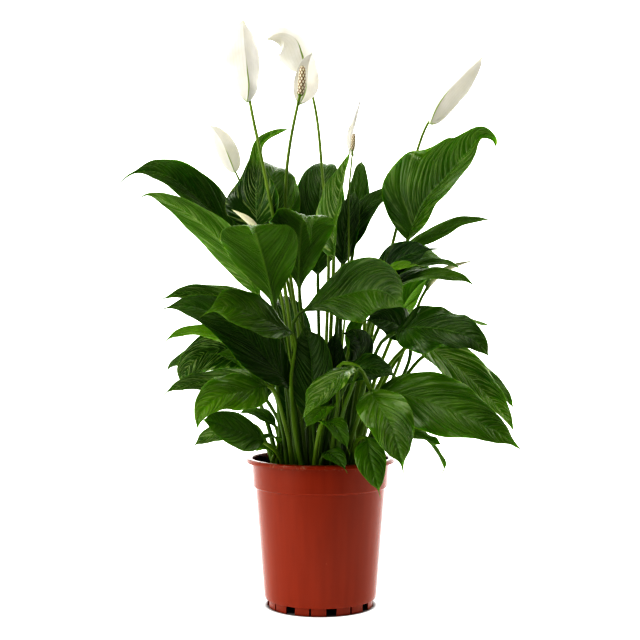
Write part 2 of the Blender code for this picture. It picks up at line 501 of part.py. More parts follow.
# Leaves on the left
leaf("leaf_left_1", (-3.3, 0.9), [(-5.4, 1.4, 32.2), (-7.5, 1, 34), (-9.8, 0.5, 35), (-12.1, 0, 35.4),
     (-14.4, -0.6, 35.6), (-16.6, -1.2, 35.4), (-19.2, -2, 34.3)], 3.8, (0, 45), fold=12)
leaf("leaf_left_2", (-2.1, -3.6), [(-3.4, -5, 25), (-6.4, -7, 28.9), (-8.7, -8, 31.4), (-11, -8.8, 33),
     (-14.5, -9.4, 34.1), (-18.6, -10, 33.1)], 5.8, (-20, 42), fold=16)
leaf("leaf_left_3", (-1.9, -5.0), [(-2.9, -7.4, 30.8), (-4.7, -9.8, 32), (-6.9, -12, 33.2), (-8.9, -13.2,
     33.9), (-10.8, -14, 33.8), (-12.4, -14.6, 32.8)], 5.2, (-10, 32), fold=10, stalk=[(-2.8, -5.6, 20.5),
     (-3.2, -6.2, 26)], shape=(1.3, 1.2))
leaf("leaf_left_4", (-3.2, -0.1), [(-6.8, -0.2, 27), (-9.2, -0.4, 29.1), (-11.2, -0.6, 30.5), (-13.1, -1,
     31.1), (-15.4, -1.4, 31.2), (-17, -1.8, 30.6), (-18.4, -2.3, 28.8)], 3.4, (0, 62))
leaf("leaf_left_5", (-3.9, 1.6), [(-6.2, 2.6, 27.2), (-8, 2.4, 28.4), (-10.3, 2.4, 29.1), (-12.6, 2, 28.9),
     (-14.5, 1.4, 27.9), (-15.6, 1, 26.4), (-15.9, 0.7, 24.8), (-15.6, 0.6, 23.2)], 6.0, (-30, 30), fold=10)
leaf("leaf_left_6", (-3.7, -2.3), [(-5.8, -4, 25.3), (-7.8, -4.6, 26), (-10, -5.2, 26), (-12.1, -5.8, 25.7),
     (-14.3, -6.4, 25.5), (-16.2, -7, 25), (-18, -7.4, 23.4)], 3.6, (0, 50))
leaf("leaf_left_7", (-3.0, -4.2), [(-5.8, -8.4, 25.5), (-7.5, -10, 25.1), (-9.3, -11.4, 24.9), (-11, -12.6,
     24.3), (-12.1, -13.4, 23.3), (-12.6, -13.9, 22.2), (-12.7, -14.2, 21)], 5.8, (-15, 35), fold=10)
leaf("leaf_left_8", (-3.9, -4.6), [(-6.2, -7.8, 19.4), (-7.9, -9.2, 20.4), (-9.8, -10.8, 21.2), (-11.3, -12,
     21.9), (-12.2, -12.8, 22.2)], 4.8, (0, 35), fold=6, shape=(0.7, 0.95))
leaf("young_shoot_left", (-4.9, 0.0), [(-10.2, 6.4, 26.8), (-13.7, 6.6, 27.8), (-16.1, 6.6, 27.8), (-18.1,
     6.6, 26.9), (-18.8, 6.6, 25.1)], 3.4, (-20, 45))
leaf("young_shoot_left", (-4.4, -0.8), [(-5.4, -1.7, 26.2), (-8, -2.2, 27.9), (-10.2, -2.9, 28.6), (-12.3,
     -3.7, 28.8)], 3.6, (0, 50))
leaf("young_shoot_left", (-5.3, -0.3), [(-8.3, 4.6, 20.2), (-10.7, 5, 19.8), (-13, 5.2, 18.8), (-15.8, 5.4,
     17.2)], 3.4, (0, 45))
leaf("young_shoot_left", (-4.4, 0.1), [(-5.2, 0.4, 20.4), (-6.7, 0.5, 21.6), (-8.2, 0.6, 22), (-9.8, 0.8,
     21.8)], 2.2, (0, 60))
leaf("young_shoot_left", (-4.9, -1.0), [(-4.7, -3.8, 18.9), (-5.2, -5.8, 19.8), (-6.1, -6.6, 19.7), (-7.0,
     -7.2, 18.6)], 1.4, (0, 60))
leaf("young_shoot_left", (-5.3, -0.7), [(-5.2, -2.2, 17.6), (-5.9, -2.6, 18.1), (-6.6, -3, 18.3), (-7.4,
     -3.3, 17.6)], 1.5, (0, 60))

# Leaves at the back
leaf("leaf_back_1", (-2.4, 4.0), [(-3.0, 6.4, 26), (-3.6, 7.4, 30), (-4.2, 8.8, 33.2), (-5.2, 11, 34.8),
     (-6.4, 13.6, 34.2)], 5.6, (-10, 25))
leaf("leaf_back_2", (-0.5, 4.6), [(-1.5, 6.2, 18.4), (-1.5, 7.5, 22.2), (-1.5, 9.4, 26.5), (-1.6, 11.6, 30),
     (-1.4, 14.2, 31.2)], 8.0, (-5, 22))
leaf("leaf_back_3", (3.2, 4.6), [(5.5, 9, 22), (8, 13, 24), (11, 16.2, 23), (13.4, 18.2, 20)], 6.2, (150,
     60))
leaf("leaf_back_4", (-3.7, 4.2), [(-6.6, 8, 23), (-8.8, 11.5, 25), (-11, 14.5, 24), (-12.6, 16.4, 20.5)],
     6.0, (-140, 60))
leaf("leaf_back_5", (2.8, 3.9), [(6, 8.6, 35), (9, 11.4, 38.6), (12, 13.8, 38.6), (14.4, 15.2, 35)], 6.6,
     (150, 65))
leaf("young_shoot_back", (0.9, 5.9), [(2, 9.5, 22), (3, 14.4, 22.4), (4.1, 18.3, 19.2), (4.7, 20.1, 14.8)],
     5.2, (175, 55))
leaf("young_shoot_back", (1.4, 5.5), [(2.7, 6.1, 20), (3.5, 6.5, 24), (3.9, 7.7, 28), (4.0, 9.6, 32)], 5.2,
     (0, 20))
leaf("young_shoot_back", (0.4, 5.6), [(-1.8, 8.5, 19), (-2.6, 12.5, 19.8), (-3.4, 15.4, 17), (-3.8, 16.6,
     13.2)], 4.6, (-170, 55))

# Flowers
flower_stalk("flower_stalk_1", [(-1.6, 0.0, 15.83), (-3.2, -0.4, 30), (-5.3, -1.4, 44), (-6.9, -1.6, 52),
             (-8.0, -1.4, 57.4)], [(-8.3, -0.3, 59.5), (-8.5, -0.1, 63)])
spathe("spathe_1", [(-8.32, -1.98, 57.2), (-8.1, -2.05, 58.8), (-8.3, -1.8, 61.0), (-8.6, -1.5, 64), (-8.8,
       -0.9, 66.7)], 5.2, (203, 0), fold=20, curl=28, shape=(0.60, 0.42))
flower_stalk("flower_stalk_2", [(0.3, 1.8, 15.83), (0.7, 2.2, 30), (0.9, 2.8, 42), (0.3, 3, 49), (-0.8, 4,
             58.5), (-1.8, 4.6, 62.2)], [(-2.6, 5.6, 63.2), (-4.2, 5.6, 64.4)], size=0.9)
spathe("spathe_2", [(-1.75, 4.2, 61.9), (-2.2, 4.1, 64.0), (-2.9, 4, 65.6), (-4.1, 3.9, 66.35), (-5.4, 3.8,
       66.2), (-6.3, 3.8, 65.5)], 5.6, (201, -12), fold=22, curl=28, shape=(0.42, 0.75))
flower_stalk("flower_stalk_3", [(-1.0, 1.4, 15.83), (-2.4, 2.2, 30), (-4.0, 2, 43), (-3.8, 0.4, 50.5),
             (-2.5, -1, 57.4)], [(-2.2, -1.4, 58.6), (-2.05, -1.7, 61.4)])
spathe("spathe_3", [(-2.4, -0.66, 57.2), (-1.8, 0.1, 58.5), (-1.5, 0.5, 60.2), (-1.35, 0.4, 61.9), (-0.9,
       0.1, 63.3)], 3.2, (-5, 8), fold=8, curl=26)
flower_stalk("flower_stalk_4", [(2.9, 1.4, 15.83), (5.4, 2.4, 30), (8.6, 3.2, 42), (11.0, 3, 51.3), (12.5,
             2, 55.4)], [(14.1, 2.9, 57.5), (15.6, 3.3, 59.5)], size=0.9)
spathe("spathe_4", [(12.75, 1.48, 55.2), (13.6, 1.15, 57.3), (14.8, 1.1, 59.0), (16.6, 1.1, 60.9), (18.9,
       1.4, 63.1)], 3.8, (160, -15), fold=22, curl=28)
flower_stalk("flower_stalk_5", [(-1.8, 2.6, 15.83), (-3.8, 4.4, 28), (-6.6, 5.4, 39), (-9.2, 5, 48), (-10.0,
             4.6, 50)], [(-10.9, 5.5, 51.2), (-11.8, 5.7, 52.8)], size=0.7)
spathe("spathe_5", [(-10.1, 4.1, 50), (-10.7, 4.1, 51.6), (-11.4, 4.1, 53.2), (-12.1, 4.1, 54.4), (-13.1,
       4.1, 55.6)], 2.9, (175, 10), fold=12, curl=28)
flower_stalk("flower_stalk_6", [(1.3, 0.9, 15.83), (2.4, 1.4, 28), (3.3, 1.8, 40), (3.3, 1.8, 47), (3.7,
             1.8, 51.8)], [(3.8, 1.6, 53), (3.9, 1.6, 54.2)], size=0.6)
spathe("spathe_6", [(3.8, 2.07, 51.7), (3.8, 2.8, 54.3), (4.3, 2.8, 56.5), (4.95, 2.4, 59.4)], 1.3, (-60,
       0), fold=35, shape=(0.5, 1.5))
bud("bud_1", [(-1.9, -1.6, 15.83), (-3.3, -3, 28), (-4.8, -4.2, 37), (-6.4, -4.4, 41.8), (-7.8, -4.3, 43.5),
    (-9.9, -4, 44.9)], 0.86)
bud("bud_2", [(4.5, 2.8, 15.83), (8.0, 5.4, 24), (10.8, 7, 31), (12.4, 7.4, 35.6), (14.4, 7.4, 38.2), (18.4,
    7, 39.7)], 0.76)

for node, bodies in solids.items():
    if node in CROWNS:
        build_shoot(node, bodies, green)
        continue
    if node.startswith("spathe"):
        finish = white
    elif node.startswith(("flower", "bud")):
        finish = stem_green
    else:
        finish = green
    make_object(node, *bodies[0], finish)
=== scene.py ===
"""A peace lily in its plastic nursery pot, finished leaf by leaf.

Lengths are in metres and the plant's growing points in centimetres. The origin is on the floor under
the pot's axis, +Z is up, and the front of the plant faces -Y.
"""
import math

import bpy
import numpy as np
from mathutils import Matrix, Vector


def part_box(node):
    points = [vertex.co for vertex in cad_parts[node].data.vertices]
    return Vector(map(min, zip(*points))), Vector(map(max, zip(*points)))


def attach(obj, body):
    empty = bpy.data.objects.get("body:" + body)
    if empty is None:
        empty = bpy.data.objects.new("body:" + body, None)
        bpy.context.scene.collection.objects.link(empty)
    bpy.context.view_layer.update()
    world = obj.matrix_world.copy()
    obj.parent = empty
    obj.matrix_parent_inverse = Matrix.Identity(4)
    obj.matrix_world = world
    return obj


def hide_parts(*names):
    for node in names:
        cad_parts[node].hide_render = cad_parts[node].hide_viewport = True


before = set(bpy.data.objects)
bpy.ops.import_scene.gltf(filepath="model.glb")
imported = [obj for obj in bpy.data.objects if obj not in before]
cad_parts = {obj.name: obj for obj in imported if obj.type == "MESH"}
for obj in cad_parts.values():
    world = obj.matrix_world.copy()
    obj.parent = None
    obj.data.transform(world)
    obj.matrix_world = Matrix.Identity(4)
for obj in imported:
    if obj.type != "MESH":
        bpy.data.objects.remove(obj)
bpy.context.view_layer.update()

# ---------------------------------------------------------------------------------------------------
# Pot. One injection moulding in terracotta-coloured polypropylene: a rolled lip, a collar that ends in
# a ledge for stacking, a tapered body, a floor with drain holes and a foot ring cut into teeth.
POT_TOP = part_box("pot")[1].z
RIM_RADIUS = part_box("pot")[1].x
WALL = 0.0014
POT_SIDES = 160
FLOOR_UNDERSIDE = 0.0090
FOOT_RADIUS = 0.0605
NOTCH_HEIGHT = 0.0082
NOTCH_TURN = math.radians(11.7)
NOTCHES = 8
NOTCH_WIDTH = 0.0115
SLIT_WIDTH = 0.0020
DRAIN_RADIUS = 0.0040
DRAIN_CIRCLE = 0.0520


def filleted(corners, steps=5):
    """An outline whose corners are rounded.

    corners are (radius, height, rounding). Each corner P is replaced by the arc of a parabola that
    leaves the side before it at the rounding's distance from P and joins the side after it as far on:
    (1-t)^2 A + 2t(1-t) P + t^2 B, with t in even steps from 0 to 1.
    """
    c = np.array(corners, float)
    p = c[:, :2]
    before, after = np.roll(p, 1, axis=0), np.roll(p, -1, axis=0)
    before[0], after[-1] = p[0], p[-1]

    def towards(q):
        away = q - p
        length = np.linalg.norm(away, axis=1)
        reach = np.minimum(c[:, 2], 0.45 * length)
        return p + away * (reach / np.maximum(length, 1e-9))[:, None]

    a, b = towards(before), towards(after)
    t = np.linspace(0.0, 1.0, steps)[None, :, None]
    arcs = (1 - t) ** 2 * a[:, None] + 2 * t * (1 - t) * p[:, None] + t ** 2 * b[:, None]
    flat = arcs.reshape(-1, 2)
    apart = np.linalg.norm(np.diff(flat, axis=0), axis=1) > 1e-7
    return flat[np.concatenate([[True], apart])]


def ring_faces(rows, sides):
    """Quads that join each ring of points to the next one, as an array of corner numbers."""
    r, s = np.meshgrid(np.arange(rows - 1), np.arange(sides), indexing="ij")
    n = (s + 1) % sides
    quads = np.stack([r * sides + s, r * sides + n, (r + 1) * sides + n, (r + 1) * sides + s], axis=-1)
    return quads.reshape(-1, 4)


def closed_faces(rows, sides):
    """The quads between rings of points, with one flat face that closes each end, as a list."""
    ends = [list(range(sides - 1, -1, -1)), list(range((rows - 1) * sides, rows * sides))]
    return ring_faces(rows, sides).tolist() + ends


def finished_piece(name, points, faces, finish, slot, node=None, attributes=()):
    """A mesh made from arrays, riding on the plant's one body, with its finish; its slot argument is not
    used.
    """
    mesh = bpy.data.meshes.new(name)
    mesh.from_pydata(np.asarray(points).reshape(-1, 3), [], faces)
    for key, values in dict(attributes).items():
        layer = mesh.attributes.new(key, "FLOAT", "POINT")
        layer.data.foreach_set("value", np.asarray(values, np.float32).ravel())
    mesh.shade_smooth()
    mesh.materials.append(finish)
    piece = bpy.data.objects.new(name, mesh)
    bpy.context.scene.collection.objects.link(piece)
    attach(piece, "root")
    if node:
        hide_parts(node)
    return piece


def add(tree, kind, values=None, links=None, **settings):
    """A shader node with its settings, fixed values and incoming links, by socket name or number."""
    made = tree.nodes.new("ShaderNode" + kind)
    for key, value in settings.items():
        setattr(made, key, value)
    for key, value in (values or {}).items():
        made.inputs[key].default_value = value
    for key, source in (links or {}).items():
        tree.links.new(source, made.inputs[key])
    return made


def calc(tree, operation, a, b=None):
    """The output of one Math node; a and b are sockets or plain numbers."""
    made = add(tree, "Math", operation=operation)
    for i, value in enumerate(v for v in (a, b) if v is not None):
        if isinstance(value, (int, float)):
            made.inputs[i].default_value = value
        else:
            tree.links.new(value, made.inputs[i])
    return made.outputs[0]


def times(tree, a, b):
    """The product of two values."""
    return calc(tree, "MULTIPLY", a, b)


def blend(tree, amount, a, b):
    """The output of one colour Mix node: a where amount is 0 and b where it is 1."""
    made = add(tree, "Mix", data_type="RGBA")
    for i, value in ((0, amount), (6, a), (7, b)):
        if isinstance(value, bpy.types.NodeSocket):
            tree.links.new(value, made.inputs[i])
        else:
            made.inputs[i].default_value = value if i == 0 else (*value, 1.0)
    return made.outputs[2]


def rise(tree, value, low, high, start=0.0, end=1.0):
    """A smooth step from start to end as value goes from low to high."""
    ends = {1: low, 2: high, 3: start, 4: end}
    return add(tree, "MapRange", ends, {0: value}, interpolation_type="SMOOTHSTEP").outputs[0]


def noise(tree, vector, scale, detail=4.0, roughness=0.55):
    """The grey output of a Noise texture."""
    grain = {"Scale": scale, "Detail": detail, "Roughness": roughness}
    return add(tree, "TexNoise", grain, {"Vector": vector}).outputs[0]


def stretched(tree, place, rate):
    """The piece's coordinates with height counted at a rate, so that a pattern on them runs lengthwise."""
    return add(tree, "Mapping", {"Scale": (1.0, 1.0, rate)}, {"Vector": place}).outputs[0]


def press_relief(tree, shader, height, strength, distance):
    """Lets a height pattern tilt the surface's shading normal."""
    bump = add(tree, "Bump", {"Strength": strength, "Distance": distance}, {"Height": height})
    tree.links.new(bump.outputs[0], shader.inputs["Normal"])


def new_finish(name):
    """An empty material with its tree, its Principled shader and its Object coordinates."""
    finish = bpy.data.materials.new(name)
    finish.use_nodes = True
    tree = finish.node_tree
    shader = tree.nodes["Principled BSDF"]
    return finish, tree, shader, add(tree, "TexCoord").outputs["Object"]


def terracotta_plastic():
    """Satin brick-red plastic with faint flow lines up its side, dust by the lip and rare pale scuffs."""
    finish, tree, shader, place = new_finish("terracotta_plastic")
    streak = noise(tree, stretched(tree, place, 0.05), 90.0, 2.0)
    colour = blend(tree, rise(tree, streak, 0.30, 0.70), (0.215, 0.029, 0.0065), (0.235, 0.033, 0.0080))
    height = add(tree, "SeparateXYZ", links={0: place}).outputs[2]
    near_lip = rise(tree, height, POT_TOP - 0.010, POT_TOP - 0.003)
    patches = rise(tree, noise(tree, place, 160.0, 6.0, 0.7), 0.52, 0.70, 0.0, 0.6)
    dust = times(tree, near_lip, patches)
    colour = blend(tree, dust, colour, (0.30, 0.20, 0.13))
    fleck = times(tree, rise(tree, noise(tree, place, 420.0, 2.0), 0.73, 0.78, 0.0, 0.8),
                 rise(tree, noise(tree, place, 22.0, 2.0), 0.60, 0.66))
    colour = blend(tree, fleck, colour, (0.52, 0.24, 0.12))
    tree.links.new(colour, shader.inputs["Base Color"])
    tree.links.new(calc(tree, "ADD", times(tree, dust, 0.4), 0.20), shader.inputs["Roughness"])
    shader.inputs["Specular IOR Level"].default_value = 0.25
    press_relief(tree, shader, noise(tree, place, 1100.0, 2.0), 0.06, 0.0003)
    return finish


def pot_shell():
    """Points and faces of the pot, an outline carried round the axis.

    Point (i, j) is outline point i turned to bearing j. Within a notch's bearings every point of the
    foot ring below the notch's height is lifted to it, and two bearings a hair apart stand at each
    notch's sides, so that the walls between them are upright.
    """
    inside = FLOOR_UNDERSIDE + 0.0016
    outline = filleted([
        (0.0, FLOOR_UNDERSIDE, 0.0), (FOOT_RADIUS - WALL, FLOOR_UNDERSIDE, 0.0008),
        (FOOT_RADIUS - WALL, 0.0, 0.0004), (FOOT_RADIUS, 0.0, 0.0005),
        (FOOT_RADIUS, FLOOR_UNDERSIDE - 0.0004, 0.0005), (0.0636, FLOOR_UNDERSIDE, 0.0010),
        (0.0644, 0.0140, 0.0040), (0.0741, 0.1348, 0.0006), (0.0767, 0.1360, 0.0008),
        (0.0785, POT_TOP - 0.0034, 0.0007), (RIM_RADIUS - WALL, POT_TOP - 0.0030, 0.0004),
        (RIM_RADIUS - WALL, POT_TOP - 0.0047, 0.0004), (RIM_RADIUS - 0.0001, POT_TOP - 0.0048, 0.0006),
        (RIM_RADIUS, POT_TOP, 0.0026), (0.0776, POT_TOP, 0.0014), (0.0755, 0.1366, 0.0012),
        (0.0727, 0.1348, 0.0012), (0.0630, 0.0140, 0.0030), (0.0616, inside, 0.0020), (0.0, inside, 0.0)])
    outline[:, 0] = np.maximum(outline[:, 0], 2e-4)
    hair = 2e-5
    turn = 2 * math.pi / NOTCHES
    middles = NOTCH_TURN + turn * np.arange(NOTCHES)
    halves = np.array([NOTCH_WIDTH / 2, SLIT_WIDTH / 2]) / FOOT_RADIUS
    middles = np.concatenate([middles, middles + turn / 2])
    halves = np.repeat(halves, NOTCHES)
    edges = (middles[:, None] + np.array([-1, 1]) * halves[:, None])[..., None] + np.array([-hair, hair])
    even = np.linspace(0, 2 * math.pi, POT_SIDES, endpoint=False)
    bearing = np.unique(np.concatenate([even, edges.ravel() % (2 * math.pi)]))
    from_middle = np.abs((bearing[:, None] - middles + math.pi) % (2 * math.pi) - math.pi)
    in_notch = (from_middle < halves).any(axis=1)
    radius, height = outline[:, :1], outline[:, 1:]
    lifted = np.maximum(height, np.where(in_notch, NOTCH_HEIGHT, 0.0))
    points = np.stack([radius * np.sin(bearing), -radius * np.cos(bearing), lifted], axis=-1)
    return points, closed_faces(*points.shape[:2])


def drained(pot):
    """Cuts the round drain holes, one behind each notch, and leaves the pot a plain mesh."""
    cutters = []
    for i in range(NOTCHES):
        bearing = NOTCH_TURN + i * 2 * math.pi / NOTCHES
        place = (DRAIN_CIRCLE * math.sin(bearing), -DRAIN_CIRCLE * math.cos(bearing), FLOOR_UNDERSIDE)
        bpy.ops.mesh.primitive_cylinder_add(vertices=32, radius=DRAIN_RADIUS, depth=0.008, location=place)
        cutters.append(bpy.context.object)
    bpy.ops.object.select_all(action="DESELECT")
    for cutter in cutters:
        cutter.select_set(True)
    bpy.context.view_layer.objects.active = cutters[0]
    bpy.ops.object.join()
    cut = pot.modifiers.new("drains", "BOOLEAN")
    cut.object = cutters[0]
    cut.solver = "EXACT"
    bpy.context.view_layer.objects.active = pot
    bpy.ops.object.modifier_apply(modifier=cut.name)
    bpy.data.objects.remove(cutters[0])
    pot.data.shade_smooth()
    pot.data.set_sharp_from_angle(angle=math.radians(40))


pot = finished_piece("nursery_pot", *pot_shell(), terracotta_plastic(), "terracotta_plastic", "pot")
drained(pot)

# ---------------------------------------------------------------------------------------------------
# Soil. Dark peat compost pressed into the pot to a finger's width under its lip and heaped a little
# against the wall at the left, with crumbs and loose fibres lying on it.
SOIL_LOW, SOIL_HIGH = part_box("soil")
SOIL_TOP = SOIL_HIGH.z
SOIL_RADIUS = 0.0764
HEAP_HEIGHT, HEAP_BEARING, HEAP_SPREAD = 0.0075, 2.75, 0.50
rng = np.random.default_rng(17)


def rolling(x, y, z, size, seed):
    """Smooth unevenness from -1 to 1: a sum of sine waves in random directions, finer ones smaller."""
    waves = np.random.default_rng(seed)
    total = np.zeros(np.broadcast(x, y, z).shape)
    for octave in range(4):
        for _ in range(4):
            way = waves.normal(size=3)
            way *= 2 ** octave * 2 * math.pi / size / np.linalg.norm(way)
            total += np.sin(way[0] * x + way[1] * y + way[2] * z + waves.uniform(0, 6.28)) * 0.55 ** octave
    return total / 5.0


def peat():
    """Nearly black, dry-topped peat: fine grain, brown fibre ends and rare pale specks."""
    finish, tree, shader, place = new_finish("peat_soil")
    clod = noise(tree, place, 120.0, 6.0, 0.7)
    colour = blend(tree, rise(tree, clod, 0.35, 0.65), (0.006, 0.004, 0.003), (0.030, 0.018, 0.011))
    fibre_end = rise(tree, noise(tree, place, 700.0, 3.0), 0.60, 0.72, 0.0, 0.6)
    colour = blend(tree, fibre_end, colour, (0.070, 0.042, 0.024))
    tree.links.new(colour, shader.inputs["Base Color"])
    shader.inputs["Roughness"].default_value = 0.92
    shader.inputs["Specular IOR Level"].default_value = 0.25
    press_relief(tree, shader, noise(tree, place, 420.0, 6.0, 0.75), 0.8, 0.0012)
    return finish


def heaped(x, y):
    """Height of the compost heaped against the wall at the left: a bell round the heap's bearing, in the
    angle off it, times the fifth power of the share of the way out to the wall."""
    off = (np.arctan2(y, x) - HEAP_BEARING + math.pi) % (2 * math.pi) - math.pi
    outward = np.clip(np.hypot(x, y) / SOIL_RADIUS, 0, 1)
    return HEAP_HEIGHT * np.exp(-(off / HEAP_SPREAD) ** 2) * outward ** 5


def soil_body():
    """The root ball: an outline carried round the axis, its top rows unevened by rolling clods."""
    sides, tops = 220, 90
    wall = filleted([(2e-4, SOIL_LOW.z, 0.0), (0.0612, SOIL_LOW.z, 0.002), (0.0718, 0.1358, 0.001),
                     (0.0745, 0.1380, 0.001), (SOIL_RADIUS, SOIL_TOP - 0.003, 0.001)], 3)
    across = np.linspace(1.0, 0.002, tops)
    top = np.stack([across * SOIL_RADIUS, np.full(tops, SOIL_TOP - 0.0012)], axis=1)
    outline = np.concatenate([wall, top])
    bearing = np.arange(sides) * 2 * math.pi / sides
    x = outline[:, :1] * np.sin(bearing)
    y = -outline[:, :1] * np.cos(bearing)
    on_top = (np.arange(len(outline)) >= len(wall))[:, None]
    clods = 0.0011 * rolling(x, y, 0 * x, 0.018, 3) + 0.0006 * rolling(x, y, 0 * x, 0.005, 4)
    clods += 0.0016 * np.clip(outline[:, :1] / SOIL_RADIUS, 0, 1) ** 6 * rolling(x, y, 0 * x, 0.03, 5)
    z = outline[:, 1:] + np.where(on_top, clods + heaped(x, y), 0.0)
    points = np.stack([x, y, np.broadcast_to(z, x.shape)], axis=-1)
    return points, closed_faces(len(outline), sides)


def many(count, rings, sides):
    """The closed faces of many equal bodies whose points follow one another."""
    faces = closed_faces(rings, sides)
    return [[k * rings * sides + i for i in face] for k in range(count) for face in faces]


def crumbs(count):
    """Loose crumbs: small eight-sided lumps of five rings, squashed and turned at random, on the soil."""
    sides = 8
    theta = np.arange(sides) * 2 * math.pi / sides
    phi = np.array([0.88, 0.7, 0.5, 0.3, 0.12]) * math.pi
    lump = np.stack([np.outer(np.sin(phi), np.cos(theta)), np.outer(np.sin(phi), np.sin(theta)),
                     np.outer(np.cos(phi), np.ones(sides))], axis=-1).reshape(1, -1, 3)
    size = rng.gamma(2.2, 0.00055, (count, 1, 1)).clip(0.0004, 0.0032)
    squash = rng.uniform(0.55, 1.25, (count, 1, 3))
    lump = lump * size * squash * rng.uniform(0.8, 1.2, (count, len(phi) * sides, 1))
    turn = rng.uniform(0, 6.28, (count, 1))
    x = lump[..., 0] * np.cos(turn) - lump[..., 2] * np.sin(turn)
    z = lump[..., 0] * np.sin(turn) + lump[..., 2] * np.cos(turn)
    out = SOIL_RADIUS * np.sqrt(rng.uniform(0.02, 0.97, (count, 1)))
    way = rng.uniform(0, 6.28, (count, 1))
    x, y = x + out * np.cos(way), lump[..., 1] + out * np.sin(way)
    points = np.stack([x, y, z + SOIL_TOP - 0.0002 + heaped(x, y)], axis=-1)
    return points, many(count, len(phi), sides)


def fibres(count):
    """Peat fibres: thin bent threads of three sides, each along a parabola from its foot to its tip."""
    t = np.linspace(0.0, 1.0, 7)[None, :, None]
    out = SOIL_RADIUS * rng.uniform(0.62, 0.985, (count, 1, 1))
    by_heap = rng.random((count, 1, 1)) < 0.45
    way = np.where(by_heap, rng.normal(math.pi, 0.35, (count, 1, 1)), rng.uniform(0, 6.28, (count, 1, 1)))
    x, y = out * np.cos(way), out * np.sin(way)
    foot = np.concatenate([x, y, SOIL_TOP + heaped(x, y)], axis=2)
    lean = rng.normal(size=(count, 1, 3)) * [0.006, 0.006, 0.0] + [0.0, 0.0, 0.001]
    lean[..., 2:] += rng.gamma(1.5, 0.0018, (count, 1, 1))
    bend = rng.normal(size=(count, 1, 3)) * 0.003
    line = foot + lean * t + bend * t * (1 - t) * 2
    ring = np.array([[1, 0, 0], [-0.5, 0.87, 0], [-0.5, -0.3, 0.8]]) * 0.00022
    points = line[:, :, None] + ring * (1.15 - t[..., None])
    return points, many(count, t.size, len(ring))


peat_soil = peat()
finished_piece("soil_body", *soil_body(), peat_soil, "peat_soil", "soil")
finished_piece("soil_crumbs", *crumbs(900), peat_soil, "peat_soil")
finished_piece("soil_fibres", *fibres(260), peat_soil, "peat_soil")

# ---------------------------------------------------------------------------------------------------
# Crown leaves. The tallest leaves, with one plantlet among them. Each is one grown piece: a round stalk
# that rises from the soil and runs on as the midrib of a glossy, pointed blade, into which side veins
# press shallow ribs.
STALK_FOOT = SOIL_TOP + 0.0003
SUNK = 0.002
STALK_RADII = (0.0034, 0.0026, 0.0021, 0.0018, 0.00025)
BLADE_THICKNESS = 0.0006
LEAF_CURL = -14
STALK_STATIONS = 18
GRID_SPACING = 0.0014
RIB_SPACING = 0.0095
RIB_HEIGHT = 0.00075
GROOVE_DEPTH, GROOVE_REACH = 0.0005, 0.0013
CROWN_HEIGHT = 0.0085
ACROSS = np.array([1.0, 0.985, 0.95, 0.88, 0.79, 0.68, 0.56, 0.44, 0.32, 0.20, 0.11, 0.05, 0.0])
ACROSS = np.concatenate([ACROSS, -ACROSS[-2::-1]])
VEIN_SWEEP = 0.60
CM = 0.01


def grown_line(points_cm):
    """A smooth line through given points: cubic Hermite pieces whose end slopes are the mean of the two
    chords beside each point, each weighted by the other's length, then read at even distances."""
    samples = 400
    p = np.asarray(points_cm, float) * CM
    chord = np.linalg.norm(np.diff(p, axis=0), axis=1)
    slope = np.diff(p, axis=0) / chord[:, None]
    tangent = np.empty_like(p)
    weight = (chord[1:] / (chord[:-1] + chord[1:]))[:, None]
    tangent[1:-1] = slope[:-1] * weight + slope[1:] * (1 - weight)
    tangent[0] = 1.5 * slope[0] - 0.5 * tangent[1]
    tangent[-1] = 1.5 * slope[-1] - 0.5 * tangent[-2]
    knots = np.concatenate([[0.0], np.cumsum(chord)])
    at = np.linspace(0.0, knots[-1], samples)
    i = np.clip(np.searchsorted(knots, at, side="right") - 1, 0, len(chord) - 1)
    t, h = ((at - knots[i]) / chord[i])[:, None], chord[i][:, None]
    line = ((1 + 2 * t) * (1 - t) ** 2 * p[i] + t * (1 - t) ** 2 * h * tangent[i]
            + t * t * (3 - 2 * t) * p[i + 1] + t * t * (t - 1) * h * tangent[i + 1])
    length = np.concatenate([[0.0], np.cumsum(np.linalg.norm(np.diff(line, axis=0), axis=1))])
    even = np.linspace(0.0, length[-1], samples)
    return np.stack([np.interp(even, length, line[:, k]) for k in range(3)], axis=1), length[-1]


def compass(azimuth, elevation):
    """Unit vector: azimuth 0 is the front (-Y) and 90 the right (+X), elevation is above level."""
    a, e = math.radians(azimuth), math.radians(elevation)
    return np.array([math.cos(e) * math.sin(a), -math.cos(e) * math.cos(a), math.sin(e)])


def carried_frames(line, facing, start):
    """Up and sideways unit vectors along a line: up faces the given way at one sample, and from there it is
    carried both ways, at each step losing only its part along the line."""
    tangent = np.gradient(line, axis=0)
    tangent /= np.linalg.norm(tangent, axis=1)[:, None]
    up = np.empty_like(line)
    up[start] = facing - facing.dot(tangent[start]) * tangent[start]
    up[start] /= np.linalg.norm(up[start])
    for step, last in ((1, len(line)), (-1, -1)):
        for i in range(start + step, last, step):
            carried = up[i - step] - up[i - step].dot(tangent[i]) * tangent[i]
            up[i] = carried / np.linalg.norm(carried)
    return up, np.cross(up, tangent)


def ease(x, low, high):
    """Smooth step: 0 up to low, 1 from high on, 3t^2 - 2t^3 between."""
    t = np.clip((x - low) / (high - low), 0.0, 1.0)
    return t * t * (3 - 2 * t)


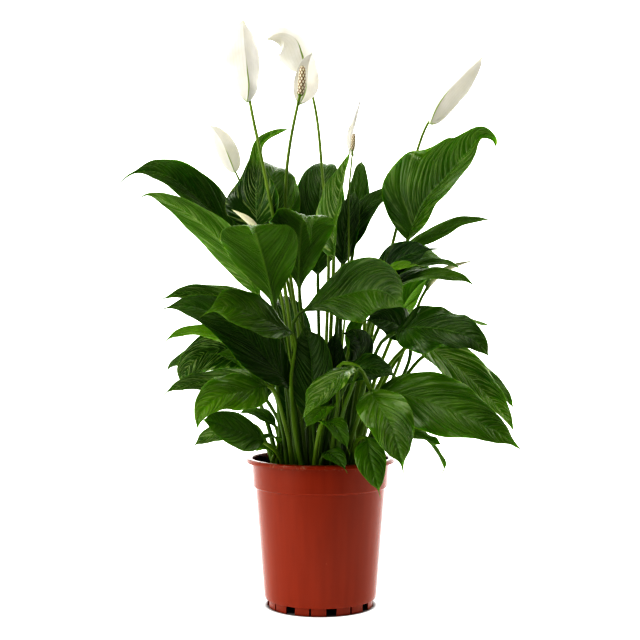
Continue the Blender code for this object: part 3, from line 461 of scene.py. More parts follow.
def blade_rings(line, frames, share, v, radius, half, fold, curl, twist, lift, thickness, keel):
    """Closed rings of a stalk that flattens into a folded blade, as points by station and place across.

    share and v give each grid point's place along the whole line and along the blade, and fold, curl and
    twist are in degrees. Where the blade is wider than its stalk, the point at q across lies on an arc
    that leaves the midrib at the fold's angle and turns on by the curl:
    out = half (sin(fold + curl q) - sin(fold)) / curl, and up likewise with the cosine. lift raises it.
    The under side lies a thickness and the midrib's keel lower.
    """
    q = ACROSS[None, :]
    at = np.linspace(0.0, 1.0, len(line))
    centre, up, side = [np.stack([np.interp(share, at, a[:, k]) for k in range(3)], axis=-1)
                        for a in (line, *frames)]
    turn = np.radians(twist) * (v - 0.4) * ease(v, 0.0, 0.12)
    cos, sin = np.cos(turn)[..., None], np.sin(turn)[..., None]
    up, side = up * cos - side * sin, side * cos + up * sin
    flat = np.clip((half / radius - 1) / 2, 0.0, 1.0)
    start = np.radians(fold)
    sweep = np.radians(curl) + 1e-6
    reach = np.sign(q) * (np.sin(start + sweep * np.abs(q)) - np.sin(start)) / sweep
    raised = (np.cos(start) - np.cos(start + sweep * np.abs(q))) / sweep
    out = half * ((1 - flat) * np.sin(q * math.pi / 2) + flat * reach)
    middle = half * flat * raised + flat * lift
    round_part = radius * np.cos(q * math.pi / 2) * (1 - flat)
    edge = np.sqrt(np.clip(1 - np.abs(q) ** 6, 0.0, None)) * flat * np.minimum(thickness / 2, half / 2)
    groove = GROOVE_DEPTH * flat * np.exp(-(out / GROOVE_REACH) ** 2)
    rib = flat * keel * radius * np.exp(-(out / (radius * 1.05)) ** 2)
    top = middle + round_part + edge - groove
    under = middle - round_part - edge - rib

    def placed(height):
        return centre + side * out[..., None] + up * height[..., None]

    points = np.concatenate([placed(top), placed(under)[:, -2:0:-1]], axis=1)
    return points, flat


def round_ring(upper, under):
    """One value per point of each ring, from the values on the upper side and on the under side."""
    return np.concatenate([upper, under[:, -2:0:-1]], axis=1)


def swelling(v, shape):
    """A blade's width, 1 at its widest: (v/m)^widen ((1-v)/(1-m))^narrow, with m where it peaks."""
    widen, narrow = shape
    peak = widen / (widen + narrow)
    return (v / peak) ** widen * (np.clip(1 - v, 0, 1) / (1 - peak)) ** narrow


def ripple(v, rates, phases, finer):
    """A slow sine wave along the blade plus a finer, lower one."""
    return (np.sin(2 * math.pi * (rates[0] * v + phases[0]))
            + finer * np.sin(2 * math.pi * (rates[1] * v + phases[1])))


def leaf(foot, blade, width, faces, seed, fold=18, twist=0, stalk=(), wave=0.22, tone=0.3,
         shape=(0.85, 1.55), tail=0.82, relief=1.2, flag=0.0, sheen=0.15):
    """Points, faces and surface coordinates of one leaf.

    foot is where its stalk leaves the soil, stalk any points it passes on its way, blade the points of
    its midrib from the stalk's end to the tip, and width the blade's, all in centimetres. The upper side
    faces the given compass direction near mid blade, and the seed sets the leaf's own waves. The sheen
    setting gives how strongly pale highlights are painted along the ribs.

    Grid lines follow the side veins: the point at tau along the midrib and q across lies at
    v = tau + (1 - tau) * sweep * |q|^1.2, so each rib is one even wave |sin(pi * ribs * tau)| of the grid.
    Half widths are (r^4 + (w f)^4)^(1/4), with r the midrib's radius, w half the width and f the
    swelling, drawn in past the tail's start to the thin drip tip. A flag keeps a narrow strip beyond mid
    blade and raises its tone there, a painted glow of light shining through the thin strip.
    """
    base = np.array([foot[0], foot[1], STALK_FOOT / CM])
    knee = np.array(blade[0], float)
    stem = [tuple(p) for p in stalk] or [tuple(base + (knee - base) * (0.30, 0.30, 0.52))]
    line, length = grown_line([tuple(base), *stem, *blade])
    nearest = np.linalg.norm(line - knee * CM, axis=1).argmin()
    begin = nearest / (len(line) - 1)
    frames = carried_frames(line, compass(*faces), int(nearest + 0.4 * (len(line) - 1 - nearest)))
    blade_length = length * (1 - begin)
    ribs = max(6, round(blade_length / RIB_SPACING))

    q = ACROSS[None, :]
    wide = np.abs(q)
    even = np.linspace(0.0, 1.0, int(np.clip(blade_length / GRID_SPACING, 50, 150)))
    tau = np.concatenate([np.zeros(STALK_STATIONS), even - 0.09 * np.sin(2 * math.pi * even)])[:, None]
    spread = ease(tau, 0.0, 0.20) * (1 - 0.35 * ease(tau, 0.4, 1.0))
    v = tau + (1 - tau) * VEIN_SWEEP * wide ** 1.2 * spread
    low = np.linspace(0.0, begin, STALK_STATIONS, endpoint=False)
    share = begin + v * (1 - begin)
    share[:STALK_STATIONS] = low[:, None]

    profile = swelling(v, shape)
    profile = np.maximum(profile, flag * (1 - v) ** 0.5 * ease(v, 0.3, 0.5))
    profile = profile * (1 - 0.80 * ease(v, tail - 0.06, tail + 0.08))
    radius = np.interp(share, (0.0, 0.30 * begin, 0.75 * begin, begin, 1.0), STALK_RADII)
    to_knee = (share - begin) * length
    radius = radius + 0.0004 * np.exp(-((to_knee + 0.010) / 0.007) ** 2)
    half = (radius ** 4 + (width / 2 * CM * profile) ** 4) ** 0.25

    phases = np.random.default_rng(seed).uniform(0, 1, 10)
    uneven = np.sin(2 * math.pi * (tau * 2.3 + phases[0])) * np.sin(2 * math.pi * (tau * 3.7 + phases[1]))
    vein = ribs * tau + np.where(q < 0, 0.5, 0.0) * ease(tau, 0.0, 0.05)
    crest = np.abs(np.sin(math.pi * vein)) ** 0.8 - 0.6
    broad = np.sin(math.pi * (vein / 2 + phases[8]))
    along_rib = ease(wide, 0.02, 0.16) * (1 - 0.75 * ease(wide, 0.65, 1.0))
    in_blade = ease(tau, 0.0, 0.08) * (1 - ease(tau, 0.82, 0.98))
    rib = relief * (RIB_HEIGHT * crest * (0.8 + 0.4 * uneven) + 0.00035 * broad) * along_rib * in_blade
    rib = rib * np.clip(half / 0.018, 0.2, 1.2)
    right = ripple(v, (1.7, 4.3), phases[2:4], 0.5)
    left = ripple(v, (1.9, 3.9), phases[4:6], 0.5)
    ruffle = wave * CM * wide ** 2.6 * np.where(q > 0, right, left)
    ruffle = ruffle * np.sin(math.pi * np.clip(v, 0, 1)) ** 0.7
    sag = 0.0012 * np.sin(2 * math.pi * (1.2 * v + phases[6])) * q
    lift = rib + (ruffle + sag) * min(1.0, width / 6.0)

    points, flat = blade_rings(line, frames, share, v, radius, half, fold, LEAF_CURL, twist, lift,
                               BLADE_THICKNESS, 1.0)
    points[0, :, 2] = STALK_FOOT - SUNK
    across = np.broadcast_to(q, v.shape)
    side_of = np.where(np.abs(across) > 0.999, 0.5, 1.0)
    # Painted glow: beyond mid blade a flag raises the tone, as if light shone through the thin strip.
    tone_and_flag_glow = tone + min(1.0, 4 * flag) * 0.8 * ease(v, 0.5, 0.65)
    surface = {
        "across": round_ring(across, across), "vein": round_ring(vein, vein),
        "blade": round_ring(flat, flat), "under": round_ring(1 - side_of, side_of),
        "tone": round_ring(tone_and_flag_glow, tone_and_flag_glow), "reach": round_ring(v, v),
        # How strongly pale highlights are painted along the ribs.
        "sheen": np.full(points.shape[:2], sheen)}
    return points, closed_faces(*points.shape[:2]), surface


def crown(x, y, radius):
    """A plantlet's low crown, in centimetres: a rounded knob with five shallow lobes."""
    up = np.linspace(0.0, 1.0, 14)[:, None]
    bearing = np.arange(2 * len(ACROSS) - 2) * 2 * math.pi / (2 * len(ACROSS) - 2)
    swell = np.sqrt(np.clip(1 - up ** 2.2, 1e-4, None)) * (1 + 0.10 * np.sin(5 * bearing + 3 * up))
    r = radius * CM * swell
    points = np.stack([x * CM + r * np.cos(bearing), y * CM + r * np.sin(bearing),
                       np.broadcast_to(STALK_FOOT - SUNK + CROWN_HEIGHT * up, r.shape)], axis=-1)
    zero = np.zeros(points.shape[:2])
    surface = {"across": zero, "vein": zero, "blade": zero, "under": zero, "tone": zero + 0.6,
               "reach": zero, "sheen": zero}
    return points, closed_faces(*zero.shape), surface


def joined(parts):
    """Several bodies as one set of points, faces and surface coordinates."""
    points, faces, surfaces = zip(*parts)
    counts = np.cumsum([0] + [p.reshape(-1, 3).shape[0] for p in points])
    all_faces = [[i + first for i in face] for first, each in zip(counts, faces) for face in each]
    surface = {key: np.concatenate([s[key].ravel() for s in surfaces]) for key in surfaces[0]}
    return np.concatenate([p.reshape(-1, 3) for p in points]), all_faces, surface


def let_light_in(shader, weight, radius, scale):
    """Scatters light under the surface, as far as the radius for red, green and blue times the scale."""
    shader.inputs["Subsurface Weight"].default_value = weight
    shader.inputs["Subsurface Radius"].default_value = radius
    shader.inputs["Subsurface Scale"].default_value = scale


def own(tree, name):
    """The value of one of the piece's own surface coordinates."""
    return add(tree, "Attribute", attribute_name=name).outputs["Fac"]


def leaf_green():
    """Living leaf: glossy dark green above with pressed veins, duller and paler below, and a light stalk.

    across and vein are the leaf's own coordinates: a side vein runs where vein is a whole number, finer
    veins lie between, the midrib at across 0 and the margin at 1. tone runs from an old dark leaf at 0 to
    a young, thin one at 1; its bright yellow-green is partly the young leaf's own colour and partly
    painted light shining through it.
    """
    finish, tree, shader, place = new_finish("leaf_green")

    across = calc(tree, "ABSOLUTE", own(tree, "across"))
    vein, tone, reach = own(tree, "vein"), own(tree, "tone"), own(tree, "reach")
    below = rise(tree, own(tree, "under"), 0.45, 0.55)
    to_margin = times(tree, own(tree, "across"), 0.7)
    along_vein = add(tree, "CombineXYZ", links={0: vein, 1: to_margin, 2: tone}).outputs[0]
    streak = noise(tree, along_vein, 3.4, 3.0, 0.6)
    on_vein = rise(tree, calc(tree, "PINGPONG", vein, 0.5), 0.0, 0.09, 1.0, 0.0)
    fine = calc(tree, "PINGPONG", times(tree, vein, 6.0), 0.5)
    on_fine = rise(tree, fine, 0.0, 0.35, 1.0, 0.0)
    on_midrib = rise(tree, across, 0.010, 0.040, 1.0, 0.0)
    on_margin = rise(tree, across, 0.965, 0.99)
    broad = rise(tree, noise(tree, place, 16.0, 3.0), 0.3, 0.7)
    mottle = noise(tree, place, 130.0, 5.0, 0.6)

    dark = blend(tree, broad, (0.0034, 0.0225, 0.0000), (0.0115, 0.055, 0.0002))
    bright = blend(tree, broad, (0.100, 0.225, 0.0010), (0.185, 0.360, 0.0040))
    # The bright end of the tone is the young leaf's own yellow-green and partly painted light shining
    # through it.
    upper = blend(tree, tone, dark, bright)
    upper = blend(tree, rise(tree, streak, 0.45, 0.75, 0.0, 0.35), upper, (0.030, 0.095, 0.0010))
    upper = blend(tree, times(tree, on_vein, 0.18), upper, (0.060, 0.150, 0.008))
    upper = blend(tree, times(tree, on_midrib, 0.40), upper, (0.085, 0.200, 0.015))
    pale = blend(tree, broad, (0.015, 0.058, 0.0005), (0.034, 0.100, 0.0020))
    lower = blend(tree, tone, pale, (0.190, 0.400, 0.006))
    lower = blend(tree, rise(tree, streak, 0.40, 0.70, 0.0, 0.5), lower, (0.085, 0.140, 0.022))
    lower = blend(tree, times(tree, on_vein, 0.45), lower, (0.110, 0.180, 0.035))
    lower = blend(tree, times(tree, on_midrib, 0.8), lower, (0.150, 0.250, 0.035))
    skin = blend(tree, below, upper, lower)
    skin = blend(tree, rise(tree, reach, 0.72, 1.0, 0.0, 0.35), skin, (0.130, 0.240, 0.006))
    skin = blend(tree, times(tree, on_margin, 0.45), skin, (0.150, 0.210, 0.025))
    # Painted highlight: pale streaks along the ribs, weighted by the leaf's sheen setting, stand in for
    # light glancing off the rib crests.
    to_margin = times(tree, own(tree, "across"), 0.25)
    lines = add(tree, "CombineXYZ", links={0: vein, 1: to_margin, 2: reach}).outputs[0]
    lines = rise(tree, noise(tree, lines, 4.4, 3.0, 0.65), 0.50, 0.60)
    painted_rib_highlights = times(tree, times(tree, lines, own(tree, "sheen")), 0.75)
    skin = blend(tree, painted_rib_highlights, skin, (0.34, 0.41, 0.17))
    grain = noise(tree, stretched(tree, place, 0.12), 220.0, 3.0)
    old_stalk = blend(tree, grain, (0.035, 0.088, 0.0015), (0.085, 0.165, 0.0070))
    young_stalk = blend(tree, grain, (0.130, 0.220, 0.006), (0.210, 0.310, 0.020))
    stalk = blend(tree, rise(tree, tone, 0.1, 0.9), old_stalk, young_stalk)
    colour = blend(tree, rise(tree, own(tree, "blade"), 0.05, 0.6), stalk, skin)
    tree.links.new(colour, shader.inputs["Base Color"])

    gloss = rise(tree, streak, 0.30, 0.70, 0.14, 0.32)
    gloss = calc(tree, "ADD", gloss, times(tree, below, 0.12))
    tree.links.new(gloss, shader.inputs["Roughness"])
    shader.inputs["Specular IOR Level"].default_value = 0.30
    let_light_in(shader, 0.30, (0.55, 1.0, 0.06), 0.0012)
    height = calc(tree, "SUBTRACT", times(tree, streak, 1.1), times(tree, on_fine, 0.25))
    height = calc(tree, "SUBTRACT", calc(tree, "ADD", height, times(tree, mottle, 0.3)), on_vein)
    press_relief(tree, shader, height, 0.45, 0.0008)
    return finish


green = leaf_green()


def grow(node, *parts):
    """A finished leaf, or a plantlet's leaves with their crown, in place of its CAD node."""
    points, faces, surface = joined(parts)
    finished_piece(node + "_grown", points, faces, green, "leaf_green", node, surface)


grow("leaf_top_1", leaf((-2.0, 1.6), [(-9, 4, 41.5), (-12.1, 3.2, 44.7), (-15, 2.2, 47.4),
     (-17.6, 1.4, 49.2), (-20, 0.9, 49.8), (-21.6, 0.5, 49.4), (-23.9, 0, 47.2)], 5.8, (10, 42),
     seed=101, fold=30, tone=0.25, tail=0.76))
grow("leaf_top_2", leaf((-2.7, -0.6), [(-6.9, -1, 35.2), (-10.2, -1.6, 40.3), (-13.2, -2, 43.4),
     (-16.6, -2.4, 45.6), (-19.6, -2.8, 46.6), (-21.6, -3, 44.8)], 4.8, (165, 40), seed=102, fold=10,
     tone=0.35, relief=1.7, sheen=0.6))
grow("leaf_top_3", leaf((-2.4, 0.6), [(-7.3, 0.4, 42.6), (-7.4, 0.8, 45.5), (-7.45, 1.4, 48.5),
     (-7.4, 1.9, 51.2), (-7.0, 2.2, 53.0), (-6.1, 2.2, 53.9), (-4.9, 2.1, 54.5), (-3.8, 2, 54.75)], 7.4,
     (-18, 8), seed=103, fold=30, tone=0.1, shape=(1.2, 4.2), tail=0.97, relief=1.8, flag=0.34,
     sheen=0.7))
grow("leaf_top_4", leaf((-1.2, 2.4), [(-6.0, 5.6, 40), (-5.9, 7, 46.5), (-5.6, 9.5, 50.8),
     (-4.8, 12.5, 51.4), (-3.8, 15, 49.4)], 7.0, (10, 25), seed=104, fold=12))
grow("leaf_top_5", leaf((0.0, 3.6), [(-0.3, 7.5, 38), (-0.3, 8.8, 45), (0.2, 11, 50), (0.8, 14, 52.2),
     (1.6, 17.5, 51.4)], 6.8, (0, 30), seed=105, fold=16, tone=0.2))
grow("leaf_top_6", leaf((0.9, -0.9), [(1.5, -2, 39.5), (1.6, -1.2, 43.4), (2.3, -0.4, 47.5),
     (3.45, 0.2, 52.3)], 5.2, (-50, 10), seed=106, fold=38, tone=0.5, tail=0.95, relief=2.0, sheen=0.8))
grow("leaf_top_7", leaf((-0.9, -2.3), [(-2.3, -5.2, 35.5), (-2.2, -9, 39.6), (-1.9, -13.5, 42.4),
     (-1.3, -16.8, 43), (-1.0, -18.3, 40.2)], 7.0, (175, 45), seed=107, fold=14, tone=0.35, wave=0.55,
     shape=(1.5, 1.0), relief=1.5))
grow("leaf_top_8", leaf((-2.6, -2.8), [(-4.9, -6.4, 33.6), (-5.7, -10.5, 37.8), (-6.4, -14.6, 40.6),
     (-6.8, -18, 42), (-6.6, -20.2, 40.8)], 8.0, (175, 45), seed=108, fold=12, shape=(1.5, 1.0)))
grow("leaf_top_9", leaf((2.6, 0.6), [(10.1, 1.6, 41.8), (11.0, 1.3, 44.2), (12.1, 1.1, 46.3),
     (14.6, 0.6, 49.1), (16.9, 0.3, 51.8), (18.7, 0.1, 53.6), (19.8, 0, 53.2), (20.2, 0, 51.6)], 11.4,
     (-44, 21), seed=109, fold=36, tone=0.35, shape=(0.95, 1.8), tail=0.9, wave=0.3, relief=1.6,
     sheen=0.35))
grow("leaf_top_10", leaf((2.1, 1.9), [(3.0, 5.4, 40.8), (3.8, 5.4, 43), (4.8, 5.4, 45.1),
     (6.2, 6, 46.7), (8.4, 6.6, 48.1), (10.4, 7, 48.6)], 3.3, (-10, 30), seed=110, fold=16, tone=0.15,
     shape=(0.6, 1.2)))
grow("leaf_top_11", leaf((-0.5, 2.3), [(-4.2, 4, 40), (-3.8, 4, 44.9), (-2.9, 4, 47.8),
     (-3.2, 4.2, 50.5)], 3.0, (-70, 10), seed=111, fold=30, tone=0.6))
grow("young_shoot_inner",
     leaf((1.0, 3.6), [(4.1, 8.2, 42), (4.5, 8.4, 46), (4.8, 8.8, 49.5), (5.0, 10, 51.8),
          (5.4, 12, 52.2)], 3.0, (-10, 15), seed=112, fold=16, tone=0.2),
     leaf((1.2, 2.6), [(2.6, 2.8, 39), (3.1, 3.2, 43.4), (3.8, 4, 46.6), (4.2, 6, 48.6)], 3.6,
          (-20, 25), seed=113, fold=20, tone=0.1),
     leaf((2.0, 3.2), [(3.4, 6.4, 29), (4.4, 6.8, 32.2), (6.4, 7, 34.2)], 1.8, (0, 30), seed=114,
          tone=0.8),
     crown(1.4, 3.1, 0.8))

# ---------------------------------------------------------------------------------------------------
# Middle and right-hand leaves. Arching leaves of the second tier; the same grown blades, their outer
# halves levelling off and their tips turned down by their own weight.
grow("leaf_mid_1", leaf((1.0, -2.8), [(-2.5, -5.9, 33.1), (-0.6, -6.3, 34.2), (1.05, -6.6, 34.9),
     (2.7, -7.1, 35.3), (4.3, -7.7, 35.7), (5.9, -8.6, 35.8), (7.2, -9.5, 35.4), (8.4, -10.4, 34.4),
     (9.5, -11.2, 33.4)], 7.6, (-10, 22), seed=201, fold=12, tail=0.9, shape=(2.2, 1.9), sheen=0.25))
grow("leaf_mid_2", leaf((0.3, -4.0), [(0.9, -4.0, 23.1), (1.1, -4.2, 25.4), (1.4, -4.4, 28.2),
     (1.7, -4.5, 30.9), (1.9, -4.3, 32.4)], 3.6, (10, 10), seed=202, fold=20, tone=0.05))
grow("young_shoot_front",
     leaf((-0.5, -4.9), [(-0.8, -5.2, 21), (-0.9, -5.4, 25), (-1.1, -6.0, 29), (-1.7, -6.8, 31.4),
          (-2.4, -7.6, 32.7)], 4.8, (0, 20), seed=203, tone=0.15, shape=(0.7, 0.8)),
     leaf((-0.2, -5.3), [(0.6, -6.4, 23), (0, -8.4, 22.8), (-0.8, -10, 22), (-1.9, -11.2, 20.8)], 3.2,
          (-20, 60), seed=204, tone=0.5),
     leaf((-0.7, -5.9), [(0.2, -8.2, 21.4), (1.3, -10.5, 21.6), (2.3, -12.3, 20.3), (3.1, -13, 18.5)],
          2.8, (20, 40), seed=205, tone=0.6),
     leaf((-0.1, -5.9), [(0.5, -6.3, 18), (1.6, -8, 17.8), (2.9, -9.6, 16.2)], 2.4, (0, 55), seed=206,
          tone=0.4),
     leaf((0.2, -5.0), [(3.6, -5.4, 27.2), (4.4, -6, 29.6), (3.6, -7.2, 31), (1.7, -8, 31)], 3.2,
          (10, 30), seed=207, tone=0.1),
     crown(-0.5, -5.4, 0.9))
grow("leaf_right_1", leaf((3.4, 2.5), [(9.9, 4.8, 41), (12, 5.2, 42), (14.3, 5.8, 43.1),
     (16.2, 6.4, 44.1), (18.8, 7, 44.7), (22.2, 7.8, 44.4)], 2.4, (0, 50), seed=211, fold=14, tone=0.8))
grow("leaf_right_2", leaf((2.0, -0.5), [(7.2, -1.0, 36.8), (7.65, -1.3, 38.4), (8.7, -1.6, 39.4),
     (10.1, -2, 40), (11.8, -2.4, 40.5), (14.2, -3, 40.5)], 4.2, (0, 38), seed=212, fold=14, tone=0.0,
     tail=0.7, shape=(0.7, 1.4)))
grow("leaf_right_3", leaf((3.0, 3.1), [(9.2, 6.4, 36), (11, 7.2, 39), (12.7, 8, 40.6), (14.4, 9, 40.2),
     (16, 10, 39.4)], 3.8, (0, 40), seed=213, tone=0.4))
grow("leaf_right_4", leaf((4.2, 1.0), [(7.9, 2.6, 36.2), (9.9, 3.2, 38.2), (13.2, 3.8, 39.3),
     (15.8, 4, 39), (17.8, 4, 37.4)], 3.0, (0, 65), seed=214, tone=0.75, tail=0.78))
grow("leaf_right_5", leaf((3.5, 0.1), [(6.6, -1.6, 34.2), (9, -2.2, 36.6), (12.4, -2.8, 37.6),
     (15.7, -3, 37.2), (18.6, -3.4, 35.6)], 3.6, (0, 62), seed=215, tone=0.5))
grow("young_shoot_right",
     leaf((4.2, -1.4), [(6.6, -2.8, 37.2), (8.4, -3.2, 38.4), (10.1, -3.4, 38.7), (11.8, -3.6, 38.4)],
          2.0, (0, 60), seed=216, tone=0.7),
     leaf((4.5, -0.7), [(8.8, 2.4, 31.8), (9.9, 3.6, 34.6), (11.5, 4.4, 36.6), (13.6, 5.2, 38)], 3.6,
          (180, 35), seed=217, tone=0.9, relief=1.6),
     leaf((5.2, -0.8), [(13.9, 3, 29), (18.1, 4, 26.8), (21.2, 4, 24.4), (23.4, 4, 21.2)], 4.0,
          (20, 50), seed=218, tone=0.4),
     leaf((4.9, -1.8), [(8.4, -4.4, 20.9), (10, -5.2, 20.1), (11.9, -6, 19.5), (13.9, -6.2, 18.6)], 2.4,
          (10, 55), seed=219, tone=0.75, wave=0.5),
     leaf((5.4, -1.3), [(9.4, -1.8, 20.4), (11.4, -2.4, 19.6), (13.1, -3, 17.8), (13.9, -3.1, 16.2),
          (13.3, -3, 14.7)], 1.3, (60, 30), seed=220, twist=30, tone=0.85, wave=0.5),
     leaf((3.9, -1.7), [(9.9, -3, 30.4), (8.9, -3.6, 31.8), (7.4, -4.2, 32.5), (5.8, -4.8, 32.6),
          (4.4, -5.2, 32.3)], 4.6, (0, 28), seed=221, tone=0.1, stalk=[(7.4, -2.2, 22.5)]),
     crown(4.7, -1.2, 1.0))

# ---------------------------------------------------------------------------------------------------
# Low leaves on the right. Broad old leaves that arch out beyond the pot, deeply ribbed, one of them
# with a ruffled margin.
grow("leaf_low_right_1", leaf((2.7, -3.8), [(6.1, -9.4, 24.8), (8.6, -11.2, 24.7), (11.8, -12.8, 24),
     (14.2, -13.5, 23), (16.8, -13.9, 21.9), (19, -14, 20.6), (21.1, -14, 18.8)], 7.8, (5, 38),
     seed=301, fold=8, tone=0.45, tail=0.88, shape=(0.7, 1.3), relief=1.9, sheen=0.2))
grow("leaf_low_right_2", leaf((2.5, -2.3), [(8.2, -6.8, 31.2), (10.2, -8.4, 31.8), (12.2, -9.6, 31.7),
     (14.3, -10.4, 31.3), (16, -11, 30.7), (17.2, -11.4, 29.6), (18, -11.6, 28.2)], 6.4, (0, 36),
     seed=302, fold=6, stalk=[(4.6, -4.6, 24.5), (5.9, -5.8, 28.5), (6.9, -6.4, 30.4)], tone=0.15,
     wave=0.5, shape=(0.65, 1.35), tail=0.92))
grow("leaf_low_right_3", leaf((3.6, -2.7), [(10.4, -3.4, 30), (13.3, -4.8, 28.8), (16.1, -6, 26.6),
     (18.4, -7, 24.2), (20.3, -7.6, 21.8), (21.3, -7.8, 19.8)], 6.2, (30, 35), seed=303, fold=14,
     stalk=[(6.0, -3.0, 24.0), (8.6, -3.2, 28.6)], tone=0.6, tail=0.9, relief=2.2, sheen=1.0))
grow("leaf_low_right_4", leaf((4.4, 3.8), [(12.5, 8.2, 31), (15.6, 9.2, 32.2), (18.7, 10, 32.3),
     (21.8, 10.8, 31.7)], 3.6, (0, 70), seed=304, tone=0.7))

# ---------------------------------------------------------------------------------------------------
# Front leaves. Four leaves that lean out over the rim on bent stalks and hang before the plant; the
# shortest hangs down past the pot's lip.
grow("leaf_front_1", leaf((1.8, -5.3), [(3.6, -12, 27.6), (2, -14, 26.9), (0.8, -15.6, 25.7),
     (-0.3, -17, 24.6), (-1.2, -18, 23.5), (-2.1, -18.8, 22.4)], 4.8, (-40, 45), seed=311, fold=14,
     tail=0.93, relief=1.5, sheen=0.7))
grow("leaf_front_2", leaf((1.3, -3.6), [(2.1, -6.5, 26.9), (3.4, -7.6, 27.1), (5.1, -8.9, 27.4),
     (6.9, -10, 27.1), (8.6, -10.8, 26.2)], 4.8, (5, 45), seed=312, fold=8, tone=0.1))
grow("leaf_front_3", leaf((1.0, -5.2), [(5.2, -13.6, 25.3), (6.3, -15.8, 23.4), (7.2, -17.4, 21.8),
     (7.6, -18.5, 20.1), (8, -19.1, 18.7), (8.25, -19.4, 17)], 5.4, (10, 25), seed=313, fold=12,
     stalk=[(1.9, -7.6, 23.5), (2.3, -10.4, 28.0), (4.05, -12.0, 27.6)], tone=0.45, shape=(0.6, 1.25),
     relief=1.8, sheen=0.3))
grow("leaf_front_4", leaf((3.5, -4.6), [(5.0, -7.8, 19.8), (5.3, -9.2, 18), (5.9, -9.9, 15.7),
     (6.4, -10, 13.6)], 3.4, (-5, 15), seed=314, fold=8, stalk=[(4.2, -6.4, 19.6)], tone=0.45))

# ---------------------------------------------------------------------------------------------------
# Left-hand leaves. The fan of arching leaves on the plant's left, whose stalks leave the soil in a
# bunch, with a plantlet of young leaves that fills the gap above the rim.
grow("leaf_left_1", leaf((-3.3, 0.9), [(-5.4, 1.4, 32.2), (-7.5, 1, 34), (-9.8, 0.5, 35),
     (-12.1, 0, 35.4), (-14.4, -0.6, 35.6), (-16.6, -1.2, 35.4), (-19.2, -2, 34.3)], 3.8, (0, 45),
     seed=401, fold=12, tone=0.35, relief=1.6, sheen=0.6))
grow("leaf_left_2", leaf((-2.1, -3.6), [(-3.4, -5, 25), (-6.4, -7, 28.9), (-8.7, -8, 31.4),
     (-11, -8.8, 33), (-14.5, -9.4, 34.1), (-18.6, -10, 33.1)], 5.8, (-20, 42), seed=402, fold=16,
     tone=0.2))
grow("leaf_left_3", leaf((-1.9, -5.0), [(-2.9, -7.4, 30.8), (-4.7, -9.8, 32), (-6.9, -12, 33.2),
     (-8.9, -13.2, 33.9), (-10.8, -14, 33.8), (-12.4, -14.6, 32.8)], 5.2, (-10, 32), seed=403, fold=10,
     tone=0.5, shape=(1.3, 1.2), sheen=0.3, stalk=[(-2.8, -5.6, 20.5), (-3.2, -6.2, 26)], relief=1.3))
grow("leaf_left_4", leaf((-3.2, -0.1), [(-6.8, -0.2, 27), (-9.2, -0.4, 29.1), (-11.2, -0.6, 30.5),
     (-13.1, -1, 31.1), (-15.4, -1.4, 31.2), (-17, -1.8, 30.6), (-18.4, -2.3, 28.8)], 3.4, (0, 62),
     seed=404, tone=0.95))
grow("leaf_left_5", leaf((-3.9, 1.6), [(-6.2, 2.6, 27.2), (-8, 2.4, 28.4), (-10.3, 2.4, 29.1),
     (-12.6, 2, 28.9), (-14.5, 1.4, 27.9), (-15.6, 1, 26.4), (-15.9, 0.7, 24.8), (-15.6, 0.6, 23.2)],
     6.0, (-30, 30), seed=405, fold=10, tone=0.2, relief=1.9, sheen=0.9))
grow("leaf_left_6", leaf((-3.7, -2.3), [(-5.8, -4, 25.3), (-7.8, -4.6, 26), (-10, -5.2, 26),
     (-12.1, -5.8, 25.7), (-14.3, -6.4, 25.5), (-16.2, -7, 25), (-18, -7.4, 23.4)], 3.6, (0, 50),
     seed=406, relief=1.7, sheen=0.6))
grow("leaf_left_7", leaf((-3.0, -4.2), [(-5.8, -8.4, 25.5), (-7.5, -10, 25.1), (-9.3, -11.4, 24.9),
     (-11, -12.6, 24.3), (-12.1, -13.4, 23.3), (-12.6, -13.9, 22.2), (-12.7, -14.2, 21)], 5.8,
     (-15, 35), seed=407, fold=10, tone=0.6, tail=0.92, relief=1.5, sheen=0.3))
grow("leaf_left_8", leaf((-3.9, -4.6), [(-6.2, -7.8, 19.4), (-7.9, -9.2, 20.4), (-9.8, -10.8, 21.2),
     (-11.3, -12, 21.9), (-12.2, -12.8, 22.2)], 4.8, (0, 35), seed=408, fold=6, tone=0.5,
     shape=(0.7, 0.95), tail=0.95, wave=0.05))
grow("young_shoot_left",
     leaf((-4.9, 0.0), [(-10.2, 6.4, 26.8), (-13.7, 6.6, 27.8), (-16.1, 6.6, 27.8), (-18.1, 6.6, 26.9),
          (-18.8, 6.6, 25.1)], 3.4, (-20, 45), seed=409),
     leaf((-4.4, -0.8), [(-5.4, -1.7, 26.2), (-8, -2.2, 27.9), (-10.2, -2.9, 28.6),
          (-12.3, -3.7, 28.8)], 3.6, (0, 50), seed=410, tone=0.4),
     leaf((-5.3, -0.3), [(-8.3, 4.6, 20.2), (-10.7, 5, 19.8), (-13, 5.2, 18.8), (-15.8, 5.4, 17.2)],
          3.4, (0, 45), seed=411, tone=0.4, sheen=0.8),
     leaf((-4.4, 0.1), [(-5.2, 0.4, 20.4), (-6.7, 0.5, 21.6), (-8.2, 0.6, 22), (-9.8, 0.8, 21.8)], 2.2,
          (0, 60), seed=412, tone=0.5),
     leaf((-4.9, -1.0), [(-4.7, -3.8, 18.9), (-5.2, -5.8, 19.8), (-6.1, -6.6, 19.7),
          (-7.0, -7.2, 18.6)], 1.4, (0, 60), seed=413, tone=0.7),
     leaf((-5.3, -0.7), [(-5.2, -2.2, 17.6), (-5.9, -2.6, 18.1), (-6.6, -3, 18.3), (-7.4, -3.3, 17.6)],
          1.5, (0, 60), seed=414, tone=0.7),
     crown(-4.7, -0.5, 0.9))

